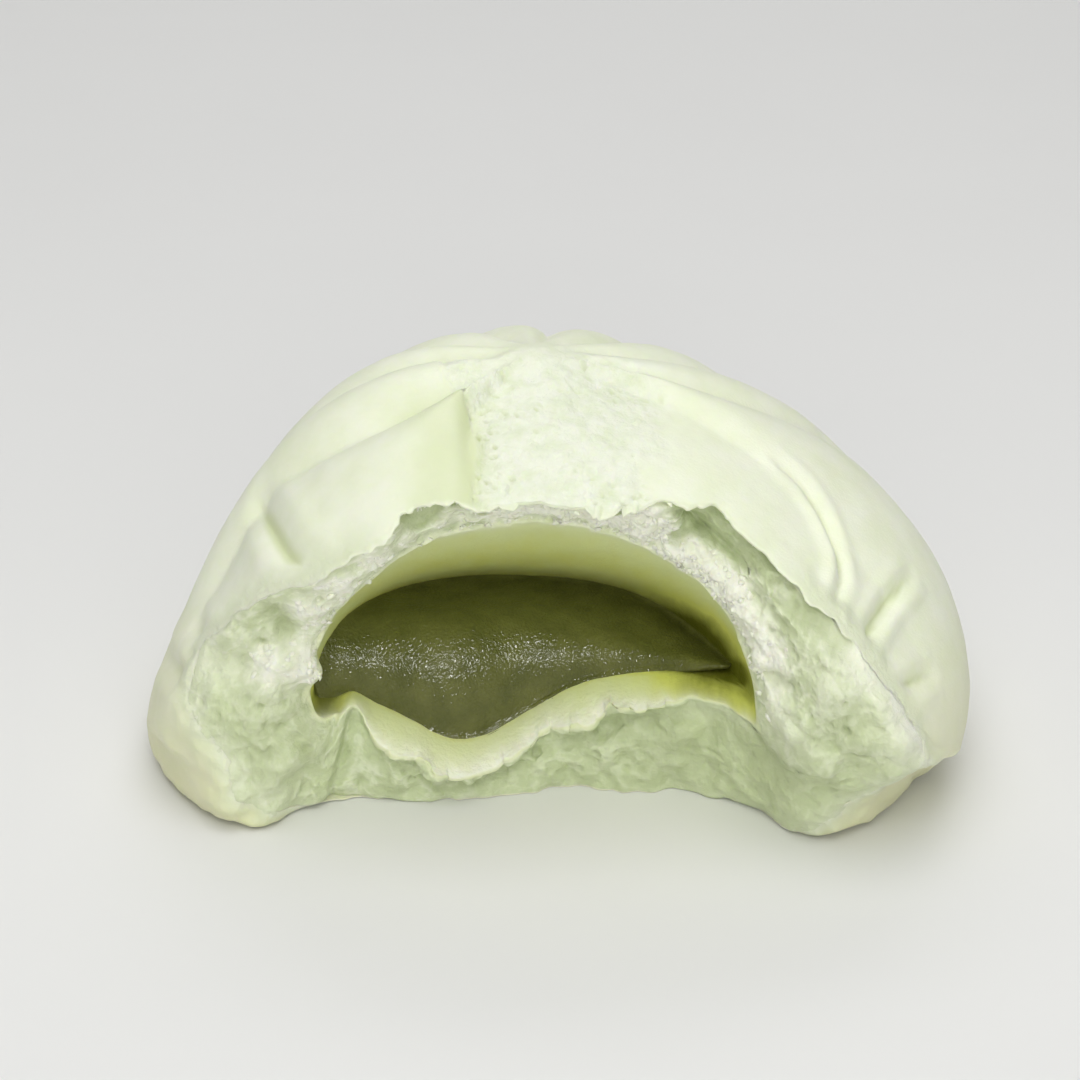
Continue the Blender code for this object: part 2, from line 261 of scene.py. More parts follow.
@dataclass(frozen=True)
class Wrinkle:
    """Crease in the skin along a chain of places, each an azimuth in degrees and a height."""

    places: tuple[Pair, ...]
    depth: float
    width: float
    sharp: float = 0.5
    overlap: float = 0.0
    bell_share: float = 0.75
    bank_share: float = 0.45
    sharp_share: float = 0.35
    middle_z: float = 15.0

    def on(self, dome: Dome, points: Array) -> Array:
        """Height of the skin beside the crease.

        A bell of the distance and a sharp middle go down and two banks go up. The overlap
        raises the side to the left of the run, and all of it tapers off at both ends.

        Args:
            dome: Dome on which the places lie.
            points: Points of the smooth skin.

        Returns:
            Height at each point, below 0 in the crease.
        """
        chain = np.array([dome.point(*place) for place in self.places])
        runs = np.diff(chain, axis=0)
        lengths = np.linalg.norm(runs, axis=1)
        passed = np.concatenate([[0.0], np.cumsum(lengths)])
        outwards = points - np.array([0.0, 0.0, self.middle_z])
        away, along = np.full(points.shape[:-1], 1e3), np.zeros(points.shape[:-1])
        left = np.zeros(points.shape[:-1])
        for start, run, length, before in zip(chain[:-1], runs, lengths, passed[:-1]):
            share = np.clip((points - start) @ run / length**2, 0.0, 1.0)
            gap = points - start - share[..., None] * run
            distance = np.linalg.norm(gap, axis=-1)
            closer = distance < away
            away = np.where(closer, distance, away)
            along = np.where(closer, (before + share * length) / passed[-1], along)
            turned = np.sum(np.cross(run, gap) * outwards, axis=-1)
            left = np.where(closer, turned > 0.0, left)
        taper = np.clip(4.0 * along * (1.0 - along), 0.0, 1.0) ** 0.7
        groove = self.bell_share * bell(away, 0.0, self.width)
        groove = groove - self.bank_share * bell(away, 2.0 * self.width, self.width)
        groove = groove + self.sharp_share * np.exp(-away / self.sharp)
        raised = self.overlap * left * bell(away, 1.2 * self.width, self.width)
        return taper * (raised - self.depth * groove)


@dataclass(frozen=True)
class Pleats:
    """Petals of dough between creases that run from the knot down the sides.

    Each crease holds its azimuth in degrees at the middle radius, its turn in degrees per
    millimetre outwards, and the swell of the petal that follows it.
    """

    creases: tuple[Triple, ...] = (
        (-158.0, -1.3, 1.45),
        (-106.0, 1.43, 0.35),
        (-21.0, -0.4, 1.05),
        (13.0, 1.1, 0.9),
        (39.0, 0.7, 0.8),
        (66.0, 0.6, 0.75),
        (93.0, 0.6, 0.8),
        (119.0, 0.5, 0.75),
        (145.0, 0.4, 0.9),
        (172.0, 0.2, 1.5),
    )
    depth: float = 2.5
    level: float = 0.72
    crease_round: float = 0.012
    lead: float = 0.85
    arch_power: float = 0.31
    middle: float = 26.0
    turn_reach: Pair = (-14.0, 10.0)
    full_radius: float = 12.0
    end_height: float = 14.0
    end_fade: float = 16.0
    wrinkles: tuple[Wrinkle, ...] = (
        Wrinkle(((-176.5, 35.5), (-160.7, 36.0), (-148.7, 35.0), (-138.0, 34.5)), 1.4, 1.8),
        Wrinkle(((-172.0, 20.5), (-150.0, 23.2)), 1.3, 1.6),
        Wrinkle(((176.8, 12.8), (-164.7, 17.0), (-152.0, 20.0)), 0.9, 1.5),
        Wrinkle(
            (
                (-44.0, 31.0), (-37.0, 32.3), (-32.3, 33.4), (-28.7, 34.7),
                (-26.1, 36.2), (-22.3, 38.1), (-19.6, 40.0), (-17.5, 43.0),
            ),
            depth=0.95,
            width=1.0,
            sharp=0.3,
            overlap=0.9,
        ),
        Wrinkle(
            ((-12.0, 28.2), (-22.4, 28.8), (-30.4, 28.4), (-37.1, 27.4), (-43.5, 26.2)),
            depth=1.3,
            width=1.1,
            sharp=0.3,
            overlap=0.6,
        ),
        Wrinkle(((-22.0, 19.6), (-28.0, 20.7), (-34.0, 21.4), (-40.5, 21.0)), 1.0, 1.2, 0.4, 0.4),
    )

    def relief(self, azimuth: Array, radius: Array, z: Array) -> Array:
        """Height of the petals: sin^2(pi share^lead)^power of the share between two creases.

        A small sum under the power rounds the bottom of the creases.

        Args:
            azimuth: Azimuth of each place about its ring's centre, in radians.
            radius: Radius of the smooth dome there.
            z: Height there.

        Returns:
            Height above the smooth dome, fading out at the knot and above the foot.
        """
        start, turn, swell = np.array(self.creases).T
        outwards = np.clip(radius - self.middle, *self.turn_reach)[..., None]
        lines = np.radians(start + turn * outwards)
        after = np.mod(azimuth[..., None] - lines, math.tau)
        nearest = np.argmin(after, axis=-1)[..., None]
        into = np.take_along_axis(after, nearest, axis=-1)[..., 0]
        gaps = np.mod(np.roll(lines, -1, axis=-1) - lines, math.tau)
        share = np.clip(into / np.take_along_axis(gaps, nearest, axis=-1)[..., 0], 0.0, 1.0)
        arch = np.sin(math.pi * share**self.lead) ** 2
        power = self.arch_power
        petal = (arch + self.crease_round) ** power - self.crease_round**power
        petal = petal * swell[nearest[..., 0]]
        fade = ease(z, self.end_height, self.end_height + self.end_fade)
        fade = fade * ease(radius, 0.0, self.full_radius)
        return self.depth * fade * (petal - self.level)

    def wrinkle(self, dome: Dome, points: Array) -> Array:
        """Sum of the wrinkles' heights at points."""
        return sum(wrinkle.on(dome, points) for wrinkle in self.wrinkles)


@dataclass(frozen=True)
class Pocket:
    """Hollow of the filling: an arch over a floor, smaller and smaller towards the back.

    The floor's sag holds its middle x, its width and its depth.
    """

    mouth_y: float = -20.0
    end_y: float = 14.0
    x: float = -0.4
    shift_x: float = -2.2
    half_width: float = 26.6
    mid_z: float = 14.6
    rise: float = 24.1
    floor_z: float = 9.3
    floor_slope: float = 0.16
    sag: Triple = (-8.0, 9.5, 5.2)
    lip_rise: float = 3.4
    lip_length: float = 4.0
    basin_depth: float = 5.5
    basin_edge: Pair = (5.0, 15.0)
    last_share: float = 0.9995

    def arch_size(self, x: Array, z: Array) -> Array:
        """1 on the mouth's arch and more outside it: the ellipse's radius in half widths."""
        above = np.clip(z - self.mid_z, 0.0, None) / self.rise
        return np.hypot((x - self.x) / self.half_width, above)

    def floor(self, x: Array, y: Array, lip: Array) -> Array:
        """Height of the floor: a slope with a sag, a climb from the lip and a basin behind.

        Args:
            x: Places across.
            y: Places in depth.
            lip: The lip's y at each x.

        Returns:
            Heights.
        """
        middle, width, depth = self.sag
        inside = np.clip(y - lip, -3.0, None)
        base = self.floor_z + self.floor_slope * np.clip(x, 0.0, None)
        base = base - depth * bell(x, middle, width)
        climb = self.lip_rise * (1.0 - np.exp(-inside / self.lip_length))
        return base + climb - self.basin_depth * ease(inside, *self.basin_edge)

    def section(self, y: Array) -> tuple[Array, Array, Array]:
        """Middle x, half width and rise of the arch at depth y.

        With s the share of the way to the back end, the half width falls as
        sqrt(1 - s^1.5) and the rise as (1 - s)^1.1.
        """
        share = np.clip((y - self.mouth_y) / (self.end_y - self.mouth_y), 0.0, self.last_share)
        half_width = self.half_width * np.sqrt(1.0 - share**1.5)
        return self.x + self.shift_x * share, half_width, self.rise * (1.0 - share) ** 1.1


@dataclass(frozen=True)
class Tear:
    """Surface along which the front is torn away: y as a function of x and z.

    The lip's fold holds its middle x, width and reach, and each swell its x, z and depth. The
    lobes begin and end at two distances to the side, about a middle height and its spread.
    """

    pocket: Pocket = Pocket()
    plane_y: float = -26.2
    scoop: float = 12.8
    scoop_width: float = 32.0
    scoop_power: float = 3.5
    roof_share: float = 0.52
    roof_z: Pair = (10.0, 36.0)
    lip_z: float = 8.0
    scoop_edge: Pair = (1.0, 1.27)
    fold: Triple = (-11.0, 9.0, 4.8)
    lobe: Pair = (20.0, 36.0)
    lobe_z: Pair = (20.0, 14.0)
    right_reach: float = 8.0
    left_reach: float = -5.0
    corner_start: float = 34.0
    corner_curve: float = 0.080
    groove: float = 2.6
    groove_size: float = 1.20
    groove_width: float = 0.08
    groove_middle: float = 48.0
    groove_spread: float = 30.0
    swells: tuple[Triple, ...] = ((20.0, 40.5, 4.5), (-21.5, 38.0, -3.0))
    swell_size: float = 7.0
    crag: float = 1.1
    crag_size: float = 4.2

    def scooped(self, x: Array, z: Array) -> Array:
        """How much further back the tear lies between the lobes than on them."""
        aside = np.clip(np.abs(x) / self.scoop_width, 0.0, 1.0)
        depth = self.scoop * (1.0 - aside**self.scoop_power)
        roof = 1.0 - (1.0 - self.roof_share) * ease(z, *self.roof_z)
        return depth * roof * (1.0 - ease(self.pocket.arch_size(x, z), *self.scoop_edge))

    def lip(self, x: Array) -> Array:
        """y of the lip of the bottom crust."""
        middle, width, reach = self.fold
        behind = self.scooped(x, np.full_like(x, self.lip_z))
        return self.plane_y + behind - reach * bell(x, middle, width)

    def smooth_y(self, x: Array, z: Array) -> Array:
        """y of the tear without its crags: scoop, hanging lip, swells, lobes, corners, groove.

        Args:
            x: Places across.
            z: Their heights.

        Returns:
            y at each place.
        """
        middle, width, reach = self.fold
        hanging = (0.6 + 0.4 * ease(z, 0.0, 4.0)) * (1.0 - ease(z, 10.0, 20.0))
        y = self.plane_y + self.scooped(x, z) - reach * bell(x, middle, width) * hanging
        for swell_x, swell_z, depth in self.swells:
            y = y + depth * bell(x, swell_x, self.swell_size) * bell(z, swell_z, self.swell_size)
        level = bell(z, *self.lobe_z)
        y = y - self.right_reach * ease(x, *self.lobe) * level
        y = y - self.left_reach * ease(-x, *self.lobe) * level
        corner = np.clip(np.abs(x) - self.corner_start, 0.0, 12.0)
        y = y + self.corner_curve * corner**2 * (1.0 - ease(z, 4.0, 14.0))
        aside = np.arctan2(z - self.pocket.mid_z, x) - math.radians(self.groove_middle)
        groove = 0.30 + 0.70 * bell(aside, 0.0, math.radians(self.groove_spread))
        run = bell(self.pocket.arch_size(x, z), self.groove_size, self.groove_width)
        return y + self.groove * groove * run * ease(z, 16.0, 28.0)

    def y(self, x: Array, z: Array) -> Array:
        """y of the torn surface with its crags."""
        flat = stack(x, np.zeros_like(x), z)
        return self.smooth_y(x, z) + self.crag * Grain.layered(flat, self.crag_size, 11)


def bisect(rising: Callable[[Array], Array], low: Array, high: Array) -> Array:
    """Where a rising function crosses 0: the span from low to high is halved again and again."""
    for _ in range(HALVINGS):
        middle = 0.5 * (low + high)
        over = rising(middle) > 0.0
        low, high = np.where(over, low, middle), np.where(over, middle, high)
    return 0.5 * (low + high)


@dataclass(frozen=True)
class Spot:
    """Bell at an angle of the torn ring: its middle and width in degrees, and its strength."""

    middle: float
    width: float
    strength: float


def around_ring(angle: Array, spots: tuple[Spot, ...]) -> Array:
    """Sum over the spots of a bell of the distance from its middle, the short way round."""
    total = np.zeros_like(angle)
    for spot in spots:
        total += spot.strength * bell(degrees_from(angle, spot.middle), 0.0, spot.width)
    return total


@dataclass(frozen=True)
class Columns:
    """Columns of the torn ring: the pocket's turn, the angle, and both reaches of the face."""

    turn: Array
    angle: Array
    near: Array
    far: Array

    @property
    def width(self) -> Array:
        """Width of the torn face in each column."""
        return self.far - self.near


@dataclass(frozen=True)
class Hollow:
    """Hollow under the skin's edge: its middle and spread in degrees, its depth and its width."""

    middle: float
    spread: float
    depth: float
    width: float


@dataclass(frozen=True)
class Patch:
    """Round patch of the torn face: its middle across and up, its radius and its strength."""

    x: float
    z: float
    radius: float
    strength: float

    @classmethod
    def many(cls, *rows: tuple[float, float, float, float]) -> tuple["Patch", ...]:
        """Patches from rows of their numbers."""
        return tuple(cls(*row) for row in rows)

    def on(self, points: Array) -> Array:
        """Its strength at points: a bell of their distance from its middle."""
        away = np.hypot(points[..., 0] - self.x, points[..., 2] - self.z)
        return self.strength * bell(away, 0.0, self.radius)


@dataclass(frozen=True)
class Groove:
    """Groove in the torn face, straight from start to end, or a ridge where the depth is below 0."""

    start: Pair
    end: Pair
    width: float
    depth: float

    def on(self, points: Array) -> Array:
        """Its depth at points: a bell of their distance from its run, which tapers at both ends."""
        place = points[..., [0, 2]]
        first = np.array(self.start)
        run = np.array(self.end) - first
        along = np.clip((place - first) @ run / (run @ run), 0.0, 1.0)
        away = np.linalg.norm(place - first - along[..., None] * run, axis=-1)
        return self.depth * bell(away, 0.0, self.width) * np.sqrt(4.0 * along * (1.0 - along) + 0.1)


@dataclass(frozen=True)
class BunForm:
    """The bun's surfaces, measured from one centre inside it.

    The torn face is a ring round the pocket's mouth. A place on it has an angle about the
    centre, as seen from the front, and a share: 0 at the pocket's rim and 1 at the dome. Each
    fold of the lip holds its x, width and height, and the two reaches bound a search.
    """

    dome: Dome = Dome()
    pleats: Pleats = Pleats()
    tear: Tear = Tear()
    pocket: Pocket = Pocket()
    centre: Triple = (-0.4, -2.0, 20.0)
    knot_radius: float = 4.5
    knot_rise: float = 0.8
    corners: tuple[Spot, ...] = (Spot(-163.0, 24.0, 6.5), Spot(-14.0, 20.0, 5.5))
    skin_gaps: tuple[Spot, ...] = (Spot(-160.5, 10.5, 12.8), Spot(-20.0, 8.5, 12.5))
    folds: tuple[Triple, ...] = ((-21.8, 1.7, 2.4), (-25.4, 2.0, -0.9))
    fold_length: float = 5.0
    hollows: tuple[Hollow, ...] = (
        Hollow(41.0, 13.0, 2.4, 8.0), Hollow(20.0, 9.0, 1.8, 5.2), Hollow(70.0, 7.0, 1.4, 3.6),
        Hollow(90.0, 5.0, 1.6, 2.8), Hollow(106.0, 6.0, 1.9, 4.2), Hollow(121.0, 6.0, 1.5, 4.0),
        Hollow(141.0, 6.0, 0.8, 3.4),
    )
    pits: tuple[Patch, ...] = Patch.many(
        (-30.6, 28.2, 1.7, 1.3), (-29.0, 25.4, 1.4, 1.2), (-34.0, 20.9, 1.2, 0.8), (-32.4, 15.8, 0.55, 0.8),
        (-30.4, 13.1, 0.4, 0.6), (-29.6, 15.6, 0.35, 0.6), (-31.6, 9.8, 0.8, 0.8), (-33.9, 9.0, 0.7, 0.6),
        (-28.4, 10.2, 0.6, 0.6), (-29.5, 11.2, 0.6, 0.6), (-39.4, 15.5, 0.5, 0.6), (-29.3, 18.0, 0.5, 0.6),
        (-31.8, 23.6, 0.6, 0.7), (28.2, 22.0, 1.3, 1.5), (35.0, 19.0, 3.0, 0.25), (37.6, 15.6, 2.4, 0.25),
        (28.3, 29.5, 0.7, 0.8), (27.4, 30.6, 0.5, 0.6), (27.6, 27.8, 0.6, 0.7), (34.3, 27.3, 0.6, 0.6),
        (33.0, 25.7, 0.7, 0.7), (34.9, 25.3, 0.45, 0.5), (19.5, 36.6, 0.9, 1.0), (18.0, 35.2, 0.7, 0.8),
        (27.4, 34.1, 0.8, 0.9), (30.1, 31.2, 0.6, 0.7), (10.7, 42.9, 0.9, 0.9),
    )
    grooves: tuple[Groove, ...] = (
        Groove((36.3, 15.4), (39.4, 15.0), 0.3, 0.5), Groove((28.6, 9.8), (30.8, 10.6), 0.35, 0.35),
        Groove((34.2, 8.0), (38.2, 4.8), 0.28, 0.35), Groove((31.6, 7.2), (33.6, 6.0), 0.25, 0.3),
        Groove((13.4, 8.9), (15.4, 8.3), 0.5, 0.6), Groove((20.2, 6.8), (22.4, 6.2), 0.35, 0.4),
        Groove((8.2, 7.0), (10.0, 6.6), 0.35, 0.35), Groove((27.2, 18.4), (30.4, 20.4), 1.1, -1.0),
        Groove((29.8, 20.4), (32.4, 17.6), 1.0, -0.9), Groove((32.2, 18.0), (31.9, 13.8), 0.9, -0.8),
    )
    step_x: float = -25.4
    step_lean: float = 0.30
    step_depth: float = 1.9
    step_length: float = 3.6
    tear_y: Pair = (-45.0, 0.0)
    ring_reach: Pair = (5.0, 75.0)
    ray_reach: Pair = (5.0, 90.0)
    samples: int = 2401
    face_steps: int = 40
    ray_steps: int = 170
    row_power: float = 2.6

    def polar(self, points: Array) -> tuple[Array, Array]:
        """Angle and reach of points about the centre, as seen from the front."""
        across, up = points[..., 0] - self.centre[0], points[..., 2] - self.centre[2]
        return np.arctan2(up, across), np.hypot(across, up)

    def inward(self, points: Array) -> Array:
        """Unit directions from points to the line that runs backwards through the centre."""
        ways = np.array(self.centre) - points
        ways[..., 1] = 0.0
        return unit(ways)

    def section(self, angle: Array, reach: Array) -> tuple[Array, Array]:
        """x and z of a place given by its angle and reach."""
        return self.centre[0] + reach * np.cos(angle), self.centre[2] + reach * np.sin(angle)

    def folded(self, points: Array) -> Array:
        """Points with the lip pinched up into a fold, and let down beside it.

        The lift is a bell across, another from the lip backwards, and grows from the table to
        the lip's height, above which it fades.

        Args:
            points: Points of any surface of the bun.

        Returns:
            The moved points.
        """
        x, y, z = np.moveaxis(points, -1, 0)
        away = bell(y, self.tear.lip(x), self.fold_length)
        share = ease(z, 0.0, 8.0) * (1.0 - ease(z, 15.0, 24.0))
        lift = sum(height * bell(x, place, reach) for place, reach, height in self.folds)
        moved = points.copy()
        moved[..., 2] += lift * away * share
        return moved

    def pocket_ring(self, turn: Array, y: Array) -> Array:
        """Points of the pocket's wall.

        Above the arch's foot it is an ellipse. Below, the wall drops to the floor with the
        square root of the sine of the turn, which gives it nearly upright sides.

        Args:
            turn: Turn about the pocket, in radians.
            y: Depths.

        Returns:
            Points.
        """
        middle, half_width, rise = self.pocket.section(y)
        x = middle + half_width * np.cos(turn)
        floor = np.minimum(self.pocket.floor(x, y, self.tear.lip(x)), self.pocket.mid_z - 0.45)
        sine = np.sin(turn)
        drop = (self.pocket.mid_z - floor) * np.sqrt(np.abs(sine))
        z = self.pocket.mid_z + np.where(sine > 0.0, rise * sine, -drop)
        return stack(x, y, z)

    def inner_edge(self, turn: Array) -> Array:
        """Points where the pocket's wall meets the tear."""

        def past_tear(y: Array) -> Array:
            """Above 0 where the wall is behind the tear."""
            ring = self.pocket_ring(turn, y)
            return y - self.tear.y(ring[..., 0], ring[..., 2])

        y = bisect(past_tear, *(np.full_like(turn, end) for end in self.tear_y))
        return self.pocket_ring(turn, y)

    def outer_reach(self, angle: Array) -> Array:
        """Reach at which the tear, set back by the corner's rounding, meets the dome."""
        corner = around_ring(angle, self.corners)

        def past_dome(reach: Array) -> Array:
            """Above 0 where the tear has left the dome."""
            x, z = self.section(angle, reach)
            return self.dome.outside(stack(x, self.tear.y(x, z) + corner, z))

        return bisect(past_dome, *(np.full_like(angle, end) for end in self.ring_reach))

    def columns(self, count: int) -> Columns:
        """Columns at even steps along the middle of the torn face.

        Args:
            count: Number of columns.

        Returns:
            The columns.
        """
        turn = np.linspace(0.0, math.tau, self.samples)
        angle, near = self.polar(self.inner_edge(turn))
        angle = np.unwrap(angle)
        middle = 0.5 * (near + self.outer_reach(angle))
        steps = np.hypot(np.diff(middle), 0.5 * (middle[1:] + middle[:-1]) * np.diff(angle))
        along = np.concatenate([[0.0], np.cumsum(steps)]) / np.sum(steps)
        turn = np.interp(np.arange(count) / count, along, turn)
        angle, near = self.polar(self.inner_edge(turn))
        return Columns(turn, angle, near, self.outer_reach(angle))

    def torn(self, columns: Columns, share: Array) -> Array:
        """Points of the torn face.

        The reach goes straight from the near to the far one, and y is the tear's. Near the
        dome, y is set back by corner (1 - sqrt(1 - w^2)), with w the share of the rounding.

        Args:
            columns: Columns of the torn ring.
            share: Shares by column and row.

        Returns:
            Points by column and row.
        """
        angle, width = columns.angle[:, None], columns.width[:, None]
        corner = around_ring(angle, self.corners)
        start = 1.0 - np.maximum(1.3 * corner / width, 1e-6)
        turned = np.clip((share - start) / (1.0 - start), 0.0, 1.0)
        x, z = self.section(angle, columns.near[:, None] + width * share)
        return stack(x, self.tear.y(x, z) + corner * (1.0 - np.sqrt(1.0 - turned**2)), z)

    def skin_gap(self, columns: Columns) -> Array:
        """How far the skin reaches down each column of the torn face."""
        return np.minimum(around_ring(columns.angle, self.skin_gaps), 0.85 * columns.width)

    def pitted(self, points: Array) -> Array:
        """Depth of the pits and grooves, their edges broken up by pushing the points about."""
        bent = Grain.drift(points, 1.3, 0.35, 109)
        return sum(mark.on(bent) for mark in (*self.pits, *self.grooves))

    def hollowed(self, angle: Array, points: Array, outer: Array) -> Array:
        """Depth of the deepest hollow under the skin's edge, flat in its middle.

        Args:
            angle: Angle of each place about the centre.
            points: Points of the face.
            outer: Distance of each from the skin's edge.

        Returns:
            Depth in millimetres.
        """
        uneven = np.clip(0.9 + 0.5 * Grain.layered(points, 4.0, 103, 2), 0.3, 1.5)
        total = np.zeros(outer.shape)
        for hollow in self.hollows:
            near = around_ring(angle, (Spot(hollow.middle, hollow.spread, 1.0),))
            width = hollow.width * (0.3 + 0.7 * near) * uneven
            across = ease(outer, -0.3, 0.7) * (1.0 - ease(outer, width - 1.3, width + 0.5))
            total = np.maximum(total, hollow.depth * ease(near, 0.12, 0.6) * across)
        return total * (0.75 + 0.25 * uneven)

    def sunk(self, angle: Array, points: Array, outer: Array) -> Array:
        """How far the torn face lies back from the tear.

        It is the sum of the hollows, of pits and grooves, and of the step beside the left
        lobe, which fades as e^-s.

        Args:
            angle: Angle of each place about the centre.
            points: Points of the face.
            outer: Distance of each from the skin's edge.

        Returns:
            Depth in millimetres.
        """
        x, z = points[..., 0], points[..., 2]
        total = self.hollowed(angle, points, outer) + self.pitted(points)
        beside = x - self.step_x - self.step_lean * z
        step = ease(beside, -0.5, 0.6) * np.exp(-np.clip(beside, 0.0, None) / self.step_length)
        return total + self.step_depth * step * (1.0 - ease(z, 8.0, 13.0))

    def relief(self, points: Array) -> Array:
        """Shift of points of the smooth dome: out low down and up near the knot."""
        azimuth, _ = self.dome.around(points)
        radius = self.dome.ring(azimuth, points[..., 2])
        height = self.pleats.relief(azimuth, radius, points[..., 2])
        height = height + self.pleats.wrinkle(self.dome, points)
        upward = ease(points[..., 2], self.dome.widest, self.dome.height)
        level = height * (1.0 - upward)
        rise = self.knot_rise * bell(radius, 0.0, self.knot_radius)
        return stack(level * np.cos(azimuth), level * np.sin(azimuth), height * upward + rise)

    def skin_paths(self, columns: Columns, rows: int, fine: float) -> tuple[Array, Array]:
        """Smooth skin from the edge of the tear to the middle of the back.

        Each column first crosses what is smooth of the torn face, then follows the dome along
        rays that swing from the tear to the back. Its rows are closest together at the tear.

        Args:
            columns: Columns of the torn ring.
            rows: Rows of points along each column.
            fine: Step between the first rows, in millimetres.

        Returns:
            Points by column and row, and their distance along the skin from the tear.
        """
        start = 1.0 - self.skin_gap(columns) / columns.width
        steps = np.linspace(0.0, 1.0, self.face_steps)
        face = self.torn(columns, start[:, None] + (1.0 - start[:, None]) * steps)
        edge = face[:, -1]
        origin = np.array(self.centre)
        first = np.arctan2(columns.far, origin[1] - edge[:, 1])
        steps = np.linspace(0.0, 1.0, self.ray_steps)[1:]
        swing = first[:, None] + (math.pi - first[:, None]) * steps
        ray = stack(
            np.sin(swing) * np.cos(columns.angle[:, None]),
            -np.cos(swing),
            np.sin(swing) * np.sin(columns.angle[:, None]),
        )

        def past_dome(reach: Array) -> Array:
            """Above 0 where a ray has left the dome."""
            return self.dome.outside(origin + reach[..., None] * ray)

        reach = bisect(past_dome, *(np.full(swing.shape, end) for end in self.ray_reach))
        path = np.concatenate([face, origin + reach[..., None] * ray], axis=1)
        steps = np.linalg.norm(np.diff(path, axis=1), axis=-1)
        along = np.concatenate([np.zeros((len(path), 1)), np.cumsum(steps, axis=1)], axis=1)
        total = along[:, -1:]
        share = np.linspace(0.0, 1.0, rows + 1)[:-1]
        even = fine * rows
        wanted = even * share + (total - even) * share**self.row_power
        return carry(along, path, wanted), wanted


def carry(along: Array, path: Array, wanted: Array) -> Array:
    """Points at wanted distances along many paths at once.

    Every path is set one after the other on a single line, with a gap between them, so that
    one interpolation serves them all.
    """
    gap = 2.0 * float(along.max()) * np.arange(len(along))[:, None]
    line, places = (along + gap).ravel(), (wanted + gap).ravel()
    axes = [np.interp(places, line, path[..., k].ravel()) for k in range(3)]
    return np.stack(axes, axis=-1).reshape(*wanted.shape, 3)


class Mark(Enum):
    """Marks kept on the points, which the finishes read."""

    CRUMB = "crumb"
    LINING = "lining"
    # Jam stain on the lining, with painted shade deeper in the pocket and just above the jam.
    STAIN_AND_SHADE = "stain"
    PEEL = "peel"
    # Painted shade: how far the colour darkens in creases, pits, hollows and recesses, and on the set-back
    # ground.
    PAINTED_SHADE = "hollow"
    # White of fluff and torn rims, and painted highlight on raised crumb fibre and the ridge.
    FLUFF_AND_HIGHLIGHT = "fluff"


def grid_normals(points: Array) -> Array:
    """Unit normals of a grid: the cross product of its column and row differences.

    Args:
        points: Points by column and row. The columns close into a ring.

    Returns:
        One normal for each point.
    """
    across = np.roll(points, -1, axis=0) - np.roll(points, 1, axis=0)
    return unit(np.cross(across, np.gradient(points, axis=1)))


def front_normals(points: Array) -> Array:
    """Unit normals of a grid, all on the side that faces the front on the whole."""
    normals = grid_normals(points)
    return -math.copysign(1.0, float(normals[..., 1].sum())) * normals


def volume_of(points: Array, faces: Faces) -> float:
    """Volume inside faces: a sixth of the sum of a . (b x c) over a fan of each face."""
    total = 0.0
    for size in sorted({len(face) for face in faces}):
        rows = np.array([face for face in faces if len(face) == size])
        for k in range(1, size - 1):
            a, b, c = points[rows[:, 0]], points[rows[:, k]], points[rows[:, k + 1]]
            total += float(np.sum(a * np.cross(b, c)))
    return total / 6.0


def new_object(name: str, data: bpy.types.ID) -> Piece:
    """New object with its data, linked into the scene."""
    made = bpy.data.objects.new(name, data)
    bpy.context.scene.collection.objects.link(made)
    return made


def make_piece(
    name: str,
    points: Array,
    faces: Faces,
    material: Material,
    marks: dict[Mark, Array] | None = None,
) -> Piece:
    """Smooth closed mesh from points in the knot's frame, its faces turned outwards.

    Args:
        name: Name of the piece.
        points: Points in millimetres.
        faces: Corner numbers of each face.
        material: Finish of the whole piece.
        marks: Values for each point, by mark. Where some are given, the others are 0.

    Returns:
        The object, at the origin, with its place in its mesh.
    """
    placed = (points + KNOT) * MM
    if volume_of(placed, faces) < 0.0:
        faces = [face[::-1] for face in faces]
    mesh = bpy.data.meshes.new(name)
    mesh.from_pydata(placed.tolist(), [], faces)
    mesh.polygons.foreach_set("use_smooth", np.ones(len(faces), bool))
    for mark in Mark if marks else ():
        values = np.clip(marks.get(mark, np.zeros(len(points))), 0.0, 1.0)
        layer = mesh.attributes.new(mark.value, "FLOAT", "POINT")
        layer.data.foreach_set("value", values.astype(np.float32).ravel())
    mesh.materials.append(material)
    mesh.update()
    return new_object(name, mesh)


def woven(columns: int, rows: int, closed_rows: bool = False) -> Faces:
    """Four-cornered faces between the neighbours of a grid whose columns close into a ring.

    Args:
        columns: Number of columns.
        rows: Points in each column.
        closed_rows: Whether the last row joins the first.

    Returns:
        Corner numbers of each face.
    """
    numbers = np.arange(columns * rows).reshape(columns, rows)
    right = np.roll(numbers, -1, axis=0)
    if closed_rows:
        here, there = numbers, right
        below, beyond = np.roll(numbers, -1, axis=1), np.roll(right, -1, axis=1)
    else:
        here, there, below, beyond = numbers[:, :-1], right[:, :-1], numbers[:, 1:], right[:, 1:]
    return np.stack([here, below, beyond, there], axis=-1).reshape(-1, 4).tolist()


def fan(ring: Whole, pole: int, flip: bool) -> Faces:
    """Triangles from the points of a ring to one pole."""
    following = np.roll(ring, -1)
    middle = np.full_like(ring, pole)
    corners = [following, ring, middle] if flip else [ring, following, middle]
    return np.stack(corners, axis=-1).tolist()


def capped(columns: int, rows: int) -> Faces:
    """Faces of a grid closed by a fan at each end, to two poles numbered after its points."""
    count = columns * rows
    numbers = np.arange(count).reshape(columns, rows)
    faces = woven(columns, rows)
    return faces + fan(numbers[:, 0], count, flip=False) + fan(numbers[:, -1], count + 1, flip=True)


def copied(faces: Faces, copies: int, points: int) -> Faces:
    """Faces of many copies of one form, each with its own run of points."""
    starts = (np.arange(copies) * points).tolist()
    return [[corner + start for corner in corners] for start in starts for corners in faces]


